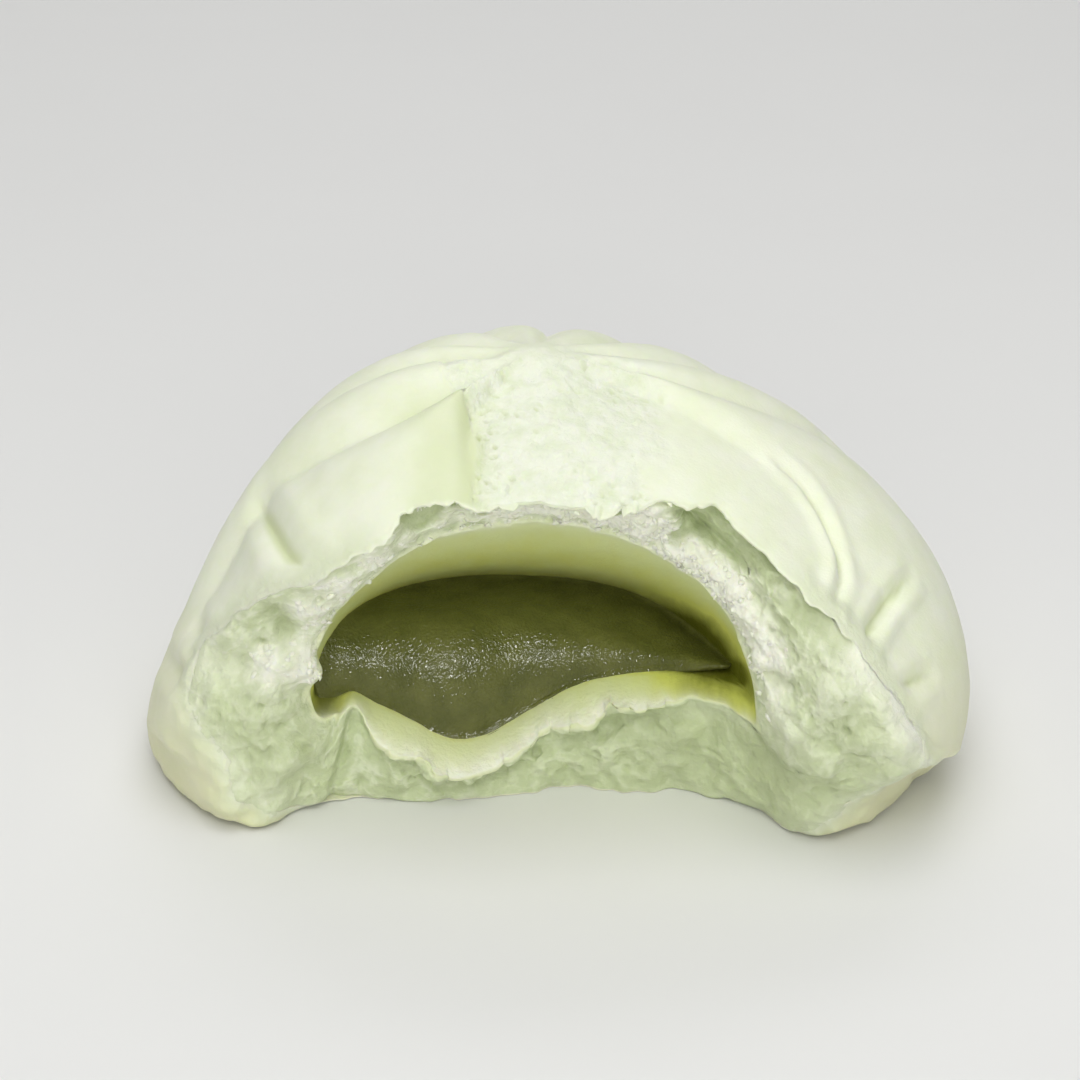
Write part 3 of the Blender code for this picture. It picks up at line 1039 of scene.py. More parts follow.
@dataclass(frozen=True)
class PeelPatch:
    """Patch above the tear, where the skin came away with what stood against it."""

    rim_y: tuple[float, ...] = (-26.0, -16.8, -11.3, -3.0, 5.7, 9.0)
    rim_x: tuple[float, ...] = (-7.3, -6.8, -7.9, -11.3, -14.2, -14.5)
    right_x: float = 14.0
    back_y: float = 1.0
    low_z: float = 30.0
    step: float = 0.22
    rough: float = 0.22
    rough_size: float = 1.2
    pit_depth: float = 0.5
    pit_size: float = 1.2
    rim_groove: float = 0.5

    def mask(self, points: Array) -> Array:
        """1 on the patch: sharp at its left rim, soft and uneven at its right and back."""
        x, y, z = np.moveaxis(points, -1, 0)
        wander = Grain.layered(points, 5.0, 41)
        rim = np.interp(y, self.rim_y, self.rim_x) + 0.35 * wander
        left = ease(x - rim, 0.0, 0.9)
        right = 1.0 - ease(x + 2.6 * wander, self.right_x - 4.0, self.right_x + 3.0)
        back = 1.0 - ease(y + 2.5 * wander, self.back_y - 5.0, self.back_y + 5.0)
        return left * right * back * ease(z, self.low_z, self.low_z + 6.0)

    def relief(self, points: Array, mask: Array) -> Array:
        """Height of the patch: a small step down, with grit and pits that cluster."""
        grit = self.rough * Grain.layered(points, self.rough_size, 43)
        pits = self.pits(points)
        beside = bell(mask, 0.5, 0.3) * ease(-points[..., 0], 3.0, 6.0)
        return mask * (grit - self.step - self.pit_depth * pits) - self.rim_groove * beside

    def pits(self, points: Array) -> Array:
        """1 in the small pits, which cluster."""
        near = Grain.bubbles(points, self.pit_size, 45)
        where = ease(Grain.layered(points, 6.0, 47), 0.0, 0.5)
        return where * (1.0 - ease(near, 0.14, 0.34))

    def shade(self, points: Array, mask: Array) -> Array:
        """Painted shade on the skin: in the pits, along the left rim, and on the petal's flank beside it.
        """
        x, y, z = np.moveaxis(points, -1, 0)
        beyond = x - np.interp(y, self.rim_y, self.rim_x)
        rim = 0.5 * bell(beyond, -0.4, 1.5) + 0.4 * bell(beyond, -4.0, 3.4)
        rim = rim * ease(z, self.low_z, self.low_z + 6.0) * (1.0 - ease(y, -12.0, -4.0))
        return np.clip(0.6 * mask * self.pits(points) + rim, 0.0, 1.0)


@dataclass(frozen=True)
class SkinSheet:
    """Finished skin by column and row from the tear to the back.

    With it come its normals, the patch without skin, the painted shade in the skin's creases, its
    pits and beside the patch's rim, and the margin at the lobes, where skin turns into crumb.
    """

    columns: Columns
    points: Array
    normals: Array
    patch: Array
    green: Array
    margin: Array

    def edge(self, turn: Array) -> tuple[Array, Array]:
        """Points and normals of the free edge at other turns of the pocket's ring."""
        turns = np.append(self.columns.turn, self.columns.turn[0] + math.tau)
        found = []
        for values in (self.points[:, 0], self.normals[:, 0]):
            closed = np.concatenate([values, values[:1]])
            found.append(np.stack([np.interp(turn, turns, closed[:, k]) for k in range(3)], -1))
        return found[0], unit(found[1])


@dataclass(frozen=True)
class Dough:
    """The dough in one closed sheet: skin, the ground of the torn face, and the pocket's lining.

    Each wave holds its height, its size and its seed.
    """

    form: BunForm
    patch: PeelPatch = PeelPatch()
    columns: int = 560
    skin_rows: int = 130
    ground_rows: int = 26
    lining_rows: int = 14
    fine_step: float = 0.24
    skin_thickness: float = 0.6
    lip_middle: float = 82.0
    lip_width: float = 54.0
    lip_fade: Pair = (-8.0, 14.0)
    lip_reach: float = 0.55
    lip_rag: float = 1.5
    lip_profile: tuple[Pair, ...] = ((0.0, 0.18), (0.12, 0.5), (-0.10, 1.0))
    joined_reach: float = 0.04
    joined_thickness: float = 0.35
    blend: Pair = (1.5, 5.0)
    foot_calm: Pair = (0.3, 5.0)
    # Crease depths over which the painted shade in the wrinkles grows.
    crease_shade_depths: Pair = (0.35, 1.2)
    calm_edge: Spot = Spot(36.0, 16.0, 0.85)
    margin: float = 2.6
    ground_depth: float = 1.5
    lining_depth: float = 0.6
    waves: Waves = ((0.22, 13.0, 51), (0.05, 2.4, 53), (0.02, 1.0, 55))

    def lip_strength(self, angle: Array) -> Array:
        """1 where the skin ends in a free edge over the torn face: sides and top."""
        away = degrees_from(angle, self.lip_middle) - self.lip_width
        return 1.0 - ease(away, *self.lip_fade)

    def skin(self) -> SkinSheet:
        """Finished skin: the smooth paths, moved by the pleats, the waves and the patch.

        Where skin turns into crumb, the pleats fade out near the tear.
        """
        columns = self.form.columns(self.columns)
        smooth, along = self.form.skin_paths(columns, self.skin_rows, self.fine_step)
        joined = 1.0 - self.lip_strength(columns.angle)[:, None]
        blended = joined * (1.0 - ease(along, *self.blend))
        points = smooth + self.form.relief(smooth) * (1.0 - blended)[..., None]
        normals = -grid_normals(points)
        mask = self.patch.mask(points)
        height = self.patch.relief(points, mask)
        above = ease(points[..., 2], *self.foot_calm)
        for strength, size, seed in self.waves:
            height = height + above * strength * Grain.smooth(points, size, seed)
        uneven = 1.0 + 0.5 * Grain.layered(points, 3.0, 57)
        margin = joined * bell(along, 0.0, self.margin * uneven)
        height = height + above * margin * 0.30 * (Grain.ridged(points, 1.1, 59) - 0.45)
        # Painted shade: the skin darkens towards the crease colour down in the wrinkles, and by the patch
        # in its pits and beside its rim.
        crease = self.form.pleats.wrinkle(self.form.dome, smooth) * (1.0 - blended)
        green = 0.7 * ease(-crease, *self.crease_shade_depths) + self.patch.shade(points, mask)
        return SkinSheet(columns, points + normals * height[..., None], normals, mask, green, margin)

    def lip(self, sheet: SkinSheet) -> Array:
        """Three rows round the skin's free edge, which reaches unevenly past the tear.

        Args:
            sheet: The finished skin.

        Returns:
            Points by column and row.
        """
        edge, normal = sheet.points[:, 0], sheet.normals[:, 0]
        ahead = unit(sheet.points[:, 0] - sheet.points[:, 3])
        strength = self.lip_strength(sheet.columns.angle)
        rag = 0.9 * Grain.layered(edge, 3.0, 61) + 0.5 * Grain.layered(edge, 0.9, 63, 2)
        rag = self.lip_rag * (1.0 - around_ring(sheet.columns.angle, (self.calm_edge,))) * rag
        reach = strength * (self.lip_reach + np.clip(rag, -0.5, 1.8))
        reach = np.maximum(reach, self.joined_reach)
        thick = self.joined_thickness + (1.0 - self.joined_thickness) * strength
        rows = [
            edge
            + ahead * (reach + forward)[:, None]
            - normal * (self.skin_thickness * depth * thick)[:, None]
            for forward, depth in self.lip_profile
        ]
        return np.stack(rows, axis=1)

    def ground(self, sheet: SkinSheet) -> Array:
        """Torn face under the crumb, set back, from under the skin's edge to the pocket.

        Args:
            sheet: The finished skin.

        Returns:
            Points by column and row.
        """
        columns, skin, normals = sheet.columns, sheet.points, sheet.normals
        start = 1.0 - self.form.skin_gap(columns) / columns.width
        share = start[:, None] * np.linspace(1.0, 0.0, self.ground_rows)
        face = self.form.torn(columns, share)
        shift = skin[:, :1] - face[:, :1] - normals[:, :1] * self.skin_thickness
        weight = ease(share / start[:, None], 0.45, 1.0)[..., None]
        outer = (start[:, None] - share) * columns.width[:, None]
        sunk = self.form.sunk(columns.angle[:, None] * np.ones_like(share), face, outer)
        back = self.ground_depth * (1.0 - 0.6 * weight) + sunk[..., None]
        return face + weight * shift - back * FORWARD

    def lining(self, columns: Columns) -> Array:
        """Wall of the pocket under the crumb's lining, from the tear to the back end.

        Args:
            columns: Columns of the torn ring.

        Returns:
            Points by column and row.
        """
        start = self.form.inner_edge(columns.turn)[:, 1] + self.ground_depth
        share = np.linspace(0.0, 1.0, self.lining_rows + 1)[1:] ** 1.2
        end = self.form.pocket.end_y - 0.05
        y = start[:, None] + (end - start[:, None]) * share
        points = self.form.pocket_ring(columns.turn[:, None], y)
        return points - self.form.inward(points) * self.lining_depth * (1.0 - share)[:, None]

    def build(self, sheet: SkinSheet, material: Material) -> Piece:
        """The piece that stands for the dough solid.

        Args:
            sheet: The finished skin.
            material: Finish of the dough.

        Returns:
            The finished piece.
        """
        skin, lining = sheet.points, self.lining(sheet.columns)
        lip, ground = self.lip(sheet), self.ground(sheet)
        grid = np.concatenate([skin[:, ::-1], lip, ground, lining], axis=1)
        poles = [skin[:, -1].mean(axis=0), lining[:, -1].mean(axis=0)]
        points = np.concatenate([grid.reshape(-1, 3), poles])
        faces = capped(self.columns, grid.shape[1])

        def over_grid(*values: Array | float) -> Array:
            """One value for each point: skin, lip, ground and lining, then the two poles."""
            shapes = [part.shape[:2] for part in (skin, lip, ground, lining)]
            parts = [np.broadcast_to(value, shape) for value, shape in zip(values, shapes)]
            poles = [parts[0][0, 0], parts[-1][0, -1]]
            return np.append(np.concatenate(parts, axis=1).ravel(), poles)

        margin = sheet.margin[:, ::-1]
        marks = {
            Mark.CRUMB: over_grid(margin, 0.5, 1.0, 0.0),
            Mark.LINING: over_grid(0.0, 0.0, 0.0, 1.0),
            Mark.STAIN_AND_SHADE: over_grid(0.0, 0.0, 0.0, 0.5),
            Mark.PEEL: over_grid(sheet.patch[:, ::-1], 0.0, 0.0, 0.0),
            # Painted shade on the skin's creases and pits, and on the set-back ground under the crumb.
            Mark.PAINTED_SHADE: over_grid(sheet.green[:, ::-1], 0.0, 0.8, 0.0),
            Mark.FLUFF_AND_HIGHLIGHT: over_grid(0.55 * margin, 0.6, 0.0, 0.0),
        }
        return make_piece("dough_skin_and_lining", self.form.folded(points), faces, material, marks)


@dataclass(frozen=True)
class Crumb:
    """Torn crumb and stained lining over the ground: one closed sheet.

    It runs from inside the jam along the pocket's wall to the tear, over the torn face to
    under the skin's edge, and back behind them. Patches say where it is fluffy, swollen,
    pale, pushed to the right, soaked with jam or darkened by painted shade, and spots where
    its rim stands out, is white or is calm.
    """

    form: BunForm
    dough: Dough
    columns: int = 720
    lining_rows: int = 26
    face_rows: int = 98
    back_rows: int = 12
    lining_end: float = 9.0
    lining_wave: float = 0.22
    thickness: float = 1.8
    overlap: float = 2.0
    lump_height: float = 0.36
    fibre_height: float = 0.60
    clump_height: float = 0.70
    speck_height: float = 0.18
    pore_depth: float = 0.75
    pinhole_depth: float = 0.28
    crust_height: float = 1.1
    recess_depth: float = 0.8
    # Jam stain with painted shade: darker with depth into the pocket, and a painted contact shadow just
    # above the jam.
    stain_and_shade_length: float = 17.0
    stain_and_shade_rise: float = 0.55
    slow_stain_and_shade: float = 0.34
    close_stain_and_shade: float = 0.38
    soaked_stain: float = 0.6
    fluffs: tuple[Patch, ...] = Patch.many(
        (-31.5, 21.0, 3.0, 0.7), (-28.0, 20.5, 2.6, 1.0), (-25.6, 18.6, 2.0, 0.8), (-34.0, 22.8, 2.0, 0.3),
        (-27.0, 30.0, 2.2, 0.6), (-23.5, 33.5, 2.6, 0.6), (-19.0, 37.5, 2.2, 0.5), (8.5, 42.0, 1.6, 0.3),
        (13.5, 40.0, 2.4, 0.9), (16.0, 35.0, 2.0, 0.6), (20.6, 32.8, 1.8, 0.8), (24.2, 31.2, 1.6, 0.9),
        (26.1, 28.6, 1.6, 0.8), (26.4, 25.8, 1.7, 0.6), (27.0, 23.6, 1.6, 0.4), (28.3, 32.3, 1.2, 0.9),
    )
    swells: tuple[Patch, ...] = Patch.many(
        (29.0, 17.6, 2.4, 1.0), (43.4, 18.4, 3.6, 1.2), (39.4, 11.8, 2.0, 0.9), (-33.0, 5.5, 3.0, 0.5),
    )
    pale: tuple[Patch, ...] = Patch.many(
        (37.0, 25.5, 5.5, 0.9), (43.5, 19.0, 5.0, 1.0), (33.0, 25.5, 3.6, 0.7), (30.0, 16.5, 3.0, 0.35),
        (32.2, 15.5, 1.4, 0.6), (40.0, 11.0, 2.2, 0.5), (-30.5, 5.0, 3.4, 0.4), (-36.0, 8.0, 3.0, 0.3),
        (-38.0, 19.5, 2.6, 0.7),
    )
    lean: tuple[Patch, ...] = (Patch(-27.2, 11.2, 3.0, 1.7), Patch(-27.0, 19.0, 1.7, 1.5))
    soaks: tuple[Patch, ...] = Patch.many(
        (-25.6, 12.2, 3.4, 1.7), (25.6, 16.0, 3.0, 1.3), (20.5, 14.6, 6.8, 1.3),
    )
    # Painted shade: patches where the crumb is darkened, mostly low on the torn face and in the right
    # hollow.
    shade_patches: tuple[Patch, ...] = Patch.many(
        (16.0, 5.0, 8.0, 0.55), (28.0, 8.0, 6.0, 0.45), (35.5, 18.5, 3.6, 0.55), (-31.0, 12.0, 6.0, 0.3),
    )
    crust: tuple[Spot, ...] = (Spot(-118.0, 30.0, 1.0), Spot(-70.0, 34.0, 0.85), Spot(-30.0, 22.0, 0.9))
    white_rim: tuple[Spot, ...] = (Spot(-174.0, 34.0, 0.4), Spot(0.0, 28.0, 0.8))
    no_crust: Spot = Spot(-17.0, 8.0, 1.0)
    ridge: tuple[Spot, ...] = (Spot(70.0, 60.0, 0.8), Spot(26.0, 23.0, 0.9), Spot(160.0, 24.0, 0.4))
    calm: tuple[Spot, ...] = (Spot(-85.0, 42.0, 0.7), Spot(-26.0, 24.0, 0.9), Spot(-168.0, 26.0, 0.7))

    @staticmethod
    def strongest(patches: tuple[Patch, ...], points: Array) -> Array:
        """Strength at points of the strongest of some patches."""
        return np.max([patch.on(points) for patch in patches], axis=0)

    def ridge_share(self, angle: Array) -> Array:
        """Share from 0 to 1 of the ridge along the pocket's rim, at angles of the torn ring."""
        return np.clip(around_ring(angle, self.ridge), 0.0, 1.0)

    def fluff(self, points: Array) -> Array:
        """How fluffy the crumb is: most at its fluffy patches, broken up by noise."""
        broken = 0.85 + 0.5 * Grain.layered(points, 2.4, 81)
        strength = self.strongest(self.fluffs, points)
        return np.clip((0.5 * np.sqrt(strength) + strength) * broken, 0.0, 1.2)

    def relief(self, points: Array, fluff: Array, calm: Array) -> tuple[Array, Array, Array]:
        """Unevenness of torn crumb.

        Soft lumps carry sharp-crested fibre, which noise has pushed about, and pores. Where
        it is fluffy, small domes over scattered centres stand on it, and where it is calm
        all of it is lower.

        Args:
            points: Points of the torn face.
            fluff: How fluffy each is.
            calm: How smooth each is.

        Returns:
            Height along the normal, painted shade in its hollows and pores, and painted highlight on its
            raised fibre.
        """
        lumps = self.lump_height * Grain.layered(points, 4.2, 83, 2)
        bent = Grain.drift(points, 1.7, 0.8, 85)
        fibre = Grain.ridged(bent * np.array([1.0, 0.8, 1.0]), 1.6, 88, 4)
        clump = 0.5 - Grain.bubbles(bent, 2.0, 93)
        speck = 0.5 - Grain.bubbles(bent, 0.8, 97)
        field = ease(Grain.smooth(points, 5.0, 91), -0.6, 0.5) * (1.0 - 0.5 * calm)
        field = field * (1.0 - 0.7 * np.clip(fluff, 0.0, 1.0))
        pore = 1.0 - ease(Grain.bubbles(points, 2.3, 99), 0.12, 0.27)
        pinhole = 1.0 - ease(Grain.bubbles(points, 1.0, 101), 0.14, 0.28)
        deep = field * (self.pore_depth * pore + self.pinhole_depth * pinhole)
        height = lumps * (1.0 - 0.6 * calm) + (self.fibre_height - 0.45 * calm) * (fibre - 0.5)
        height = height + fluff * (self.clump_height * clump + self.speck_height * speck) - deep
        # Painted shade in the fibre's hollows and the pores.
        hollow = ease(0.56 - fibre, 0.0, 0.30) * (0.75 - 0.60 * calm) + deep
        # Painted highlight: raised fibre is whitened.
        painted_highlight = ease(fibre + 0.35 * lumps, 0.50, 0.80) * (0.8 - 0.65 * calm)
        return height, hollow, painted_highlight

    def profile(self, angle: Array, points: Array, inner: Array) -> Array:
        """Height given by the distance from the pocket's rim.

        The crust stands out over a recess, or a ragged ridge of fibre stands up.

        Args:
            angle: Angle of each place about the centre.
            points: Points of the face.
            inner: Distance of each from the pocket's rim.

        Returns:
            Height along the normal.
        """
        crust = around_ring(angle, self.crust) * (1.0 - around_ring(angle, (self.no_crust,)))
        ridge = around_ring(angle, self.ridge)
        rag = Grain.layered(points * np.array([1.0, 0.3, 1.0]), 2.6, 101, 3)
        end = np.maximum(0.8 + 0.5 * rag + 0.3 * Grain.smooth(points, 0.9, 113), 0.25)
        rim = self.crust_height * (1.0 - ease(inner - end, 0.0, 0.45))
        height = crust * (rim - self.recess_depth * bell(inner, 2.6, 1.2))
        return height + ridge * (0.5 + 0.7 * rag) * bell(inner, 2.3, 1.4)

    def face(self, columns: Columns, sheet: SkinSheet) -> tuple[Array, dict[Mark, Array]]:
        """Front of the crumb, from the pocket's rim to under the skin, with its marks.

        Args:
            columns: Columns of the torn ring.
            sheet: The finished skin, under whose free edge the crumb ends.

        Returns:
            Points by column and row, and their marks.
        """
        gap = self.form.skin_gap(columns)
        top = self.dough.lip_strength(columns.angle)[:, None]
        reach = columns.width - gap + self.overlap * (1.0 - top[:, 0])
        last = np.minimum(reach / columns.width, 1.0)
        share = last[:, None] * np.linspace(0.0, 1.0, self.face_rows)
        base = self.form.torn(columns, share)
        plain_edge = self.form.torn(columns, 1.0 - (gap / columns.width)[:, None])
        edge, edge_normal = sheet.edge(columns.turn)
        under = edge - edge_normal * (self.dough.skin_thickness * 0.8 * top)
        shift = under[:, None] - plain_edge
        inner = share * columns.width[:, None]
        outer = (columns.width - gap)[:, None] - inner
        angle = np.broadcast_to(columns.angle[:, None], inner.shape)
        sunk = self.form.sunk(angle, base, outer)
        pitted, floor = self.form.pitted(base), ease(self.form.hollowed(angle, base, outer), 0.5, 1.6)
        base = base + shift * ease(share / last[:, None], 0.4, 1.0)[..., None]
        normals = front_normals(base)
        rim = np.clip(around_ring(angle, self.white_rim), 0.0, 1.0)
        rim = (1.0 - top) * bell(outer, -0.6, 2.6) * rim
        crest = self.ridge_share(angle) * bell(inner, 2.6, 2.0) * (1.0 - floor)
        tufted = self.fluff(base) * (1.0 - 0.6 * ease(sunk, 0.2, 1.2))
        fluff = np.maximum(tufted, np.maximum(0.7 * rim, 0.7 * crest))
        pale = self.strongest(self.pale, base)
        calm = np.clip(around_ring(angle, self.calm) + 0.9 * floor + 0.8 * pale + 0.5 * crest, 0.0, 1.0)
        height, hollow, painted_highlight = self.relief(base, fluff, calm)
        painted_highlight = np.clip(painted_highlight + crest * (0.7 + 0.6 * painted_highlight), 0.0, 1.0)
        beyond = outer[:, -1:]
        free = ease(outer, beyond, beyond + 3.2 - 2.0 * top) * ease(inner, -0.1, 0.9)
        swell = np.maximum(self.strongest(self.fluffs, base), self.strongest(self.swells, base))
        shape = self.profile(angle, base, inner) + swell * free
        cap = 0.5 * np.clip(outer, 0.0, None) - 0.2 + 9.0 * (1.0 - top)
        total = np.minimum(height * free * (1.0 - 0.6 * rim) + shape, cap)
        tucked = np.maximum(top, ease(-beyond, 0.1, 1.2))
        sink = (1.0 - ease(outer, beyond, beyond + 1.6)) * 0.6 * tucked
        points = base + normals * (total - sink)[..., None]
        points[..., 0] += sum(patch.on(base) for patch in self.lean)
        points[..., 1] += sunk
        points[..., 2] = np.maximum(points[..., 2], 0.02)
        lining = 1.0 - ease(inner + 0.35 * Grain.layered(base, 1.2, 105), 0.0, 0.8)
        # Painted shade: darker over hollow floors, in pits and grooves, where the profile dips under the
        # crust, in the shade patches and in the fibre's hollows, with less of it on the ridge.
        dark = 0.35 * floor + 0.9 * ease(pitted, 0.1, 0.9) + 0.5 * ease(-shape, 0.1, 0.9)
        low = dark + self.strongest(self.shade_patches, base) + 0.7 * hollow * (1.0 - 0.7 * pale)
        low = np.clip(low, 0.0, 1.0) * (1.0 - 0.6 * crest)
        # White of fluff, rim, pale patches and lining edge, plus painted highlight on raised fibre and the
        # ridge.
        white = np.maximum(fluff, 0.6 * rim) + 0.6 * painted_highlight + 0.42 * pale + 0.6 * lining + 0.4 * crest
        marks = {
            Mark.CRUMB: 1.0 - 0.35 * lining,
            Mark.LINING: 0.35 * lining,
            Mark.PAINTED_SHADE: low,
            Mark.FLUFF_AND_HIGHLIGHT: np.clip(white, 0.0, 1.0) * (1.0 - 0.6 * low),
        }
        return points, marks

    def lining(self, columns: Columns, rim: Array) -> Array:
        """Wall of the pocket from inside the jam to the tear, where it meets the face.

        Args:
            columns: Columns of the torn ring.
            rim: First row of the face.

        Returns:
            Points by column and row.
        """
        edge = self.form.inner_edge(columns.turn)
        share = np.linspace(1.0, 0.0, self.lining_rows + 1)[:-1] ** 1.5
        y = edge[:, None, 1] + (self.lining_end - edge[:, None, 1]) * share
        points = self.form.pocket_ring(columns.turn[:, None], y)
        wave = self.lining_wave * Grain.smooth(points, 6.0, 71)
        wave = wave + 0.06 * Grain.layered(points, 1.4, 107, 2)
        wave = wave * ease(1.0 - share, 0.0, 0.3) - 0.3 * ease(share, 0.9, 1.0)
        pull = np.exp(-(y - edge[:, None, 1]) / 0.7)[..., None]
        return points + self.form.inward(points) * wave[..., None] + pull * (rim - edge)[:, None]

    def stain(self, points: Array, depth: Array, filling: "Filling") -> Array:
        """How far the lining darkens, part jam stain and part painted shade: with depth into the pocket, in
        a painted contact shadow just above the jam, and where it soaks.
        """
        low = 1.0 - ease(points[..., 2], 8.0, self.form.pocket.mid_z)
        slow = ease(depth * (1.0 + 0.3 * low), 0.0, self.stain_and_shade_length)
        above = points[..., 2] - filling.level(points[..., 0], points[..., 1])
        close = np.exp(-np.clip(above, 0.0, None) / self.stain_and_shade_rise)
        soaked = self.soaked_stain * self.strongest(self.soaks, points)
        return np.clip(self.slow_stain_and_shade * slow + self.close_stain_and_shade * close + soaked, 0.0, 1.0)

    def back(self, lining: Array, face: Array) -> Array:
        """Back of the sheet: some rows of its front, pushed in and evened out across columns.

        Behind the face they move backwards, and behind the lining outwards.

        Args:
            lining: Rows of the lining, from the jam to the tear.
            face: Rows of the face, from the pocket to under the skin.

        Returns:
            Points by column and row, from the skin back to the jam.
        """
        front = np.concatenate([lining, face], axis=1)
        half = self.back_rows // 2
        rows_in_face = np.linspace(self.face_rows - 1, 0.12 * self.face_rows, half + 1)[1:]
        rows_in_lining = np.linspace(-1, -self.lining_rows, half + 2)[1:-1]
        picked = self.lining_rows + np.concatenate([rows_in_face, rows_in_lining])
        rows = front[:, np.round(picked).astype(int)]
        even = sum(np.roll(rows, step, axis=0) for step in range(-5, 6)) / 11.0
        outward = -0.35 * self.thickness * self.form.inward(even)
        backward = -self.thickness * FORWARD
        place = np.arange(len(picked))[None, :, None]
        back = even + np.where(place < half, backward, outward)
        back[..., 2] = np.maximum(back[..., 2], 0.3)
        return back

    def build(self, sheet: SkinSheet, filling: "Filling", material: Material) -> list[Piece]:
        """The crumb piece, closed into a ring of lining, face and back, and what stands on it.

        Args:
            sheet: The finished skin.
            filling: The jam, above which the lining takes stain and painted shade.
            material: Finish of the dough.

        Returns:
            The crumb, its tufts and its shreds.
        """
        columns = self.form.columns(self.columns)
        face, marks = self.face(columns, sheet)
        lining = self.lining(columns, face[:, 0])
        back = self.back(lining, face)
        grid = np.concatenate([lining, face, back], axis=1)
        rows = grid.shape[1]

        depth = lining[..., 1] - self.form.inner_edge(columns.turn)[:, None, 1]
        stain = self.stain(lining, depth, filling)
        soaked = np.clip(self.strongest(self.soaks, lining), 0.0, 1.0)
        low = 1.0 - ease(lining[..., 2], 10.0, 16.0)
        rim_length = (1.0 + 3.8 * low) * (1.0 - 0.7 * soaked)
        pale = np.exp(-(depth + 0.25 * Grain.layered(lining, 1.0, 155)) / rim_length)
        bare = (0.7 + 0.25 * low) * pale
        wall = {Mark.LINING: 1.0 - bare, Mark.STAIN_AND_SHADE: stain, Mark.CRUMB: bare, Mark.FLUFF_AND_HIGHLIGHT: pale}

        def over_grid(mark: Mark) -> Array:
            """Values of a mark over lining, face and back, 0 where front and wall have none."""
            start = wall.get(mark, np.zeros(lining.shape[:2]))
            front = marks.get(mark, np.zeros(face.shape[:2]))
            return np.concatenate([start, front, np.full(back.shape[:2], 0.5)], axis=1)

        values = {mark: over_grid(mark) for mark in Mark}
        faces = woven(self.columns, rows, closed_rows=True)
        points = self.form.folded(grid.reshape(-1, 3))
        crumb = make_piece("torn_crumb", points, faces, material, values)
        tufts = self.tufts(columns, face, marks, material)
        return [crumb, tufts, self.shreds(columns, face, sheet, material)]

    def tufts(
        self, columns: Columns, face: Array, marks: dict[Mark, Array], material: Material
    ) -> Piece:
        """Small lumps on the face, most where it is fluffy and none under the skin.

        Args:
            columns: Columns of the torn ring.
            face: Points of the face.
            marks: Its marks.
            material: Finish of the dough.

        Returns:
            The piece.
        """
        normals = front_normals(face)
        rows, count = np.arange(self.face_rows), self.face_rows
        open_rows = ease(rows, 1.0, 5.0) * (1.0 - ease(rows, 0.86 * count, 0.93 * count))
        crest = self.ridge_share(columns.angle)[:, None]
        inner = np.linalg.norm(face - face[:, :1], axis=-1)
        likely = self.strongest(self.fluffs, face) + crest**2 * bell(inner, 2.4, 1.8)
        weight = likely * np.clip(marks[Mark.FLUFF_AND_HIGHLIGHT] - 0.35, 0.0, None) * open_rows
        away = np.clip(self.strongest(self.pale, face) - 0.4, 0.0, None)
        weight = weight * (1.0 - np.clip(2.5 * away, 0.0, 0.97))
        return Tufts(self.form).build(face, normals, weight, material)

    def shreds(
        self, columns: Columns, face: Array, sheet: SkinSheet, material: Material
    ) -> Piece:
        """Tongues at the skin's edge above, and at the pocket's rim where its ridge is.

        Args:
            columns: Columns of the torn ring.
            face: Points of the face.
            sheet: The finished skin.
            material: Finish of the dough.

        Returns:
            The piece.
        """
        edge, up = sheet.edge(columns.turn)
        down = unit(face[:, -12] - face[:, -1])
        rim = face[:, 6]
        inward = unit(np.array(self.form.centre) - rim + 3.0 * FORWARD)
        out = np.broadcast_to(FORWARD, rim.shape)
        rough = 0.3 + np.clip(Grain.layered(edge, 4.0, 153) + 0.4, 0.0, None)
        top = self.dough.lip_strength(columns.angle)
        top = top * bell(np.degrees(columns.angle), 96.0, 28.0) * rough
        ridge = self.ridge_share(columns.angle) ** 2 * rough
        return Shreds(self.form).build(
            np.concatenate([edge - 0.3 * up + 0.25 * down, rim]),
            np.concatenate([down, inward]),
            np.concatenate([up, out]),
            np.concatenate([1.4 * top, ridge]),
            material,
        )


def on_each(base: Array, along: Array, across: Array, up: Array, local: Array) -> Array:
    """Points given along three directions of each of many places, moved to those places."""
    spread = np.stack([along, across, up], axis=1)
    return base[:, None] + local @ spread


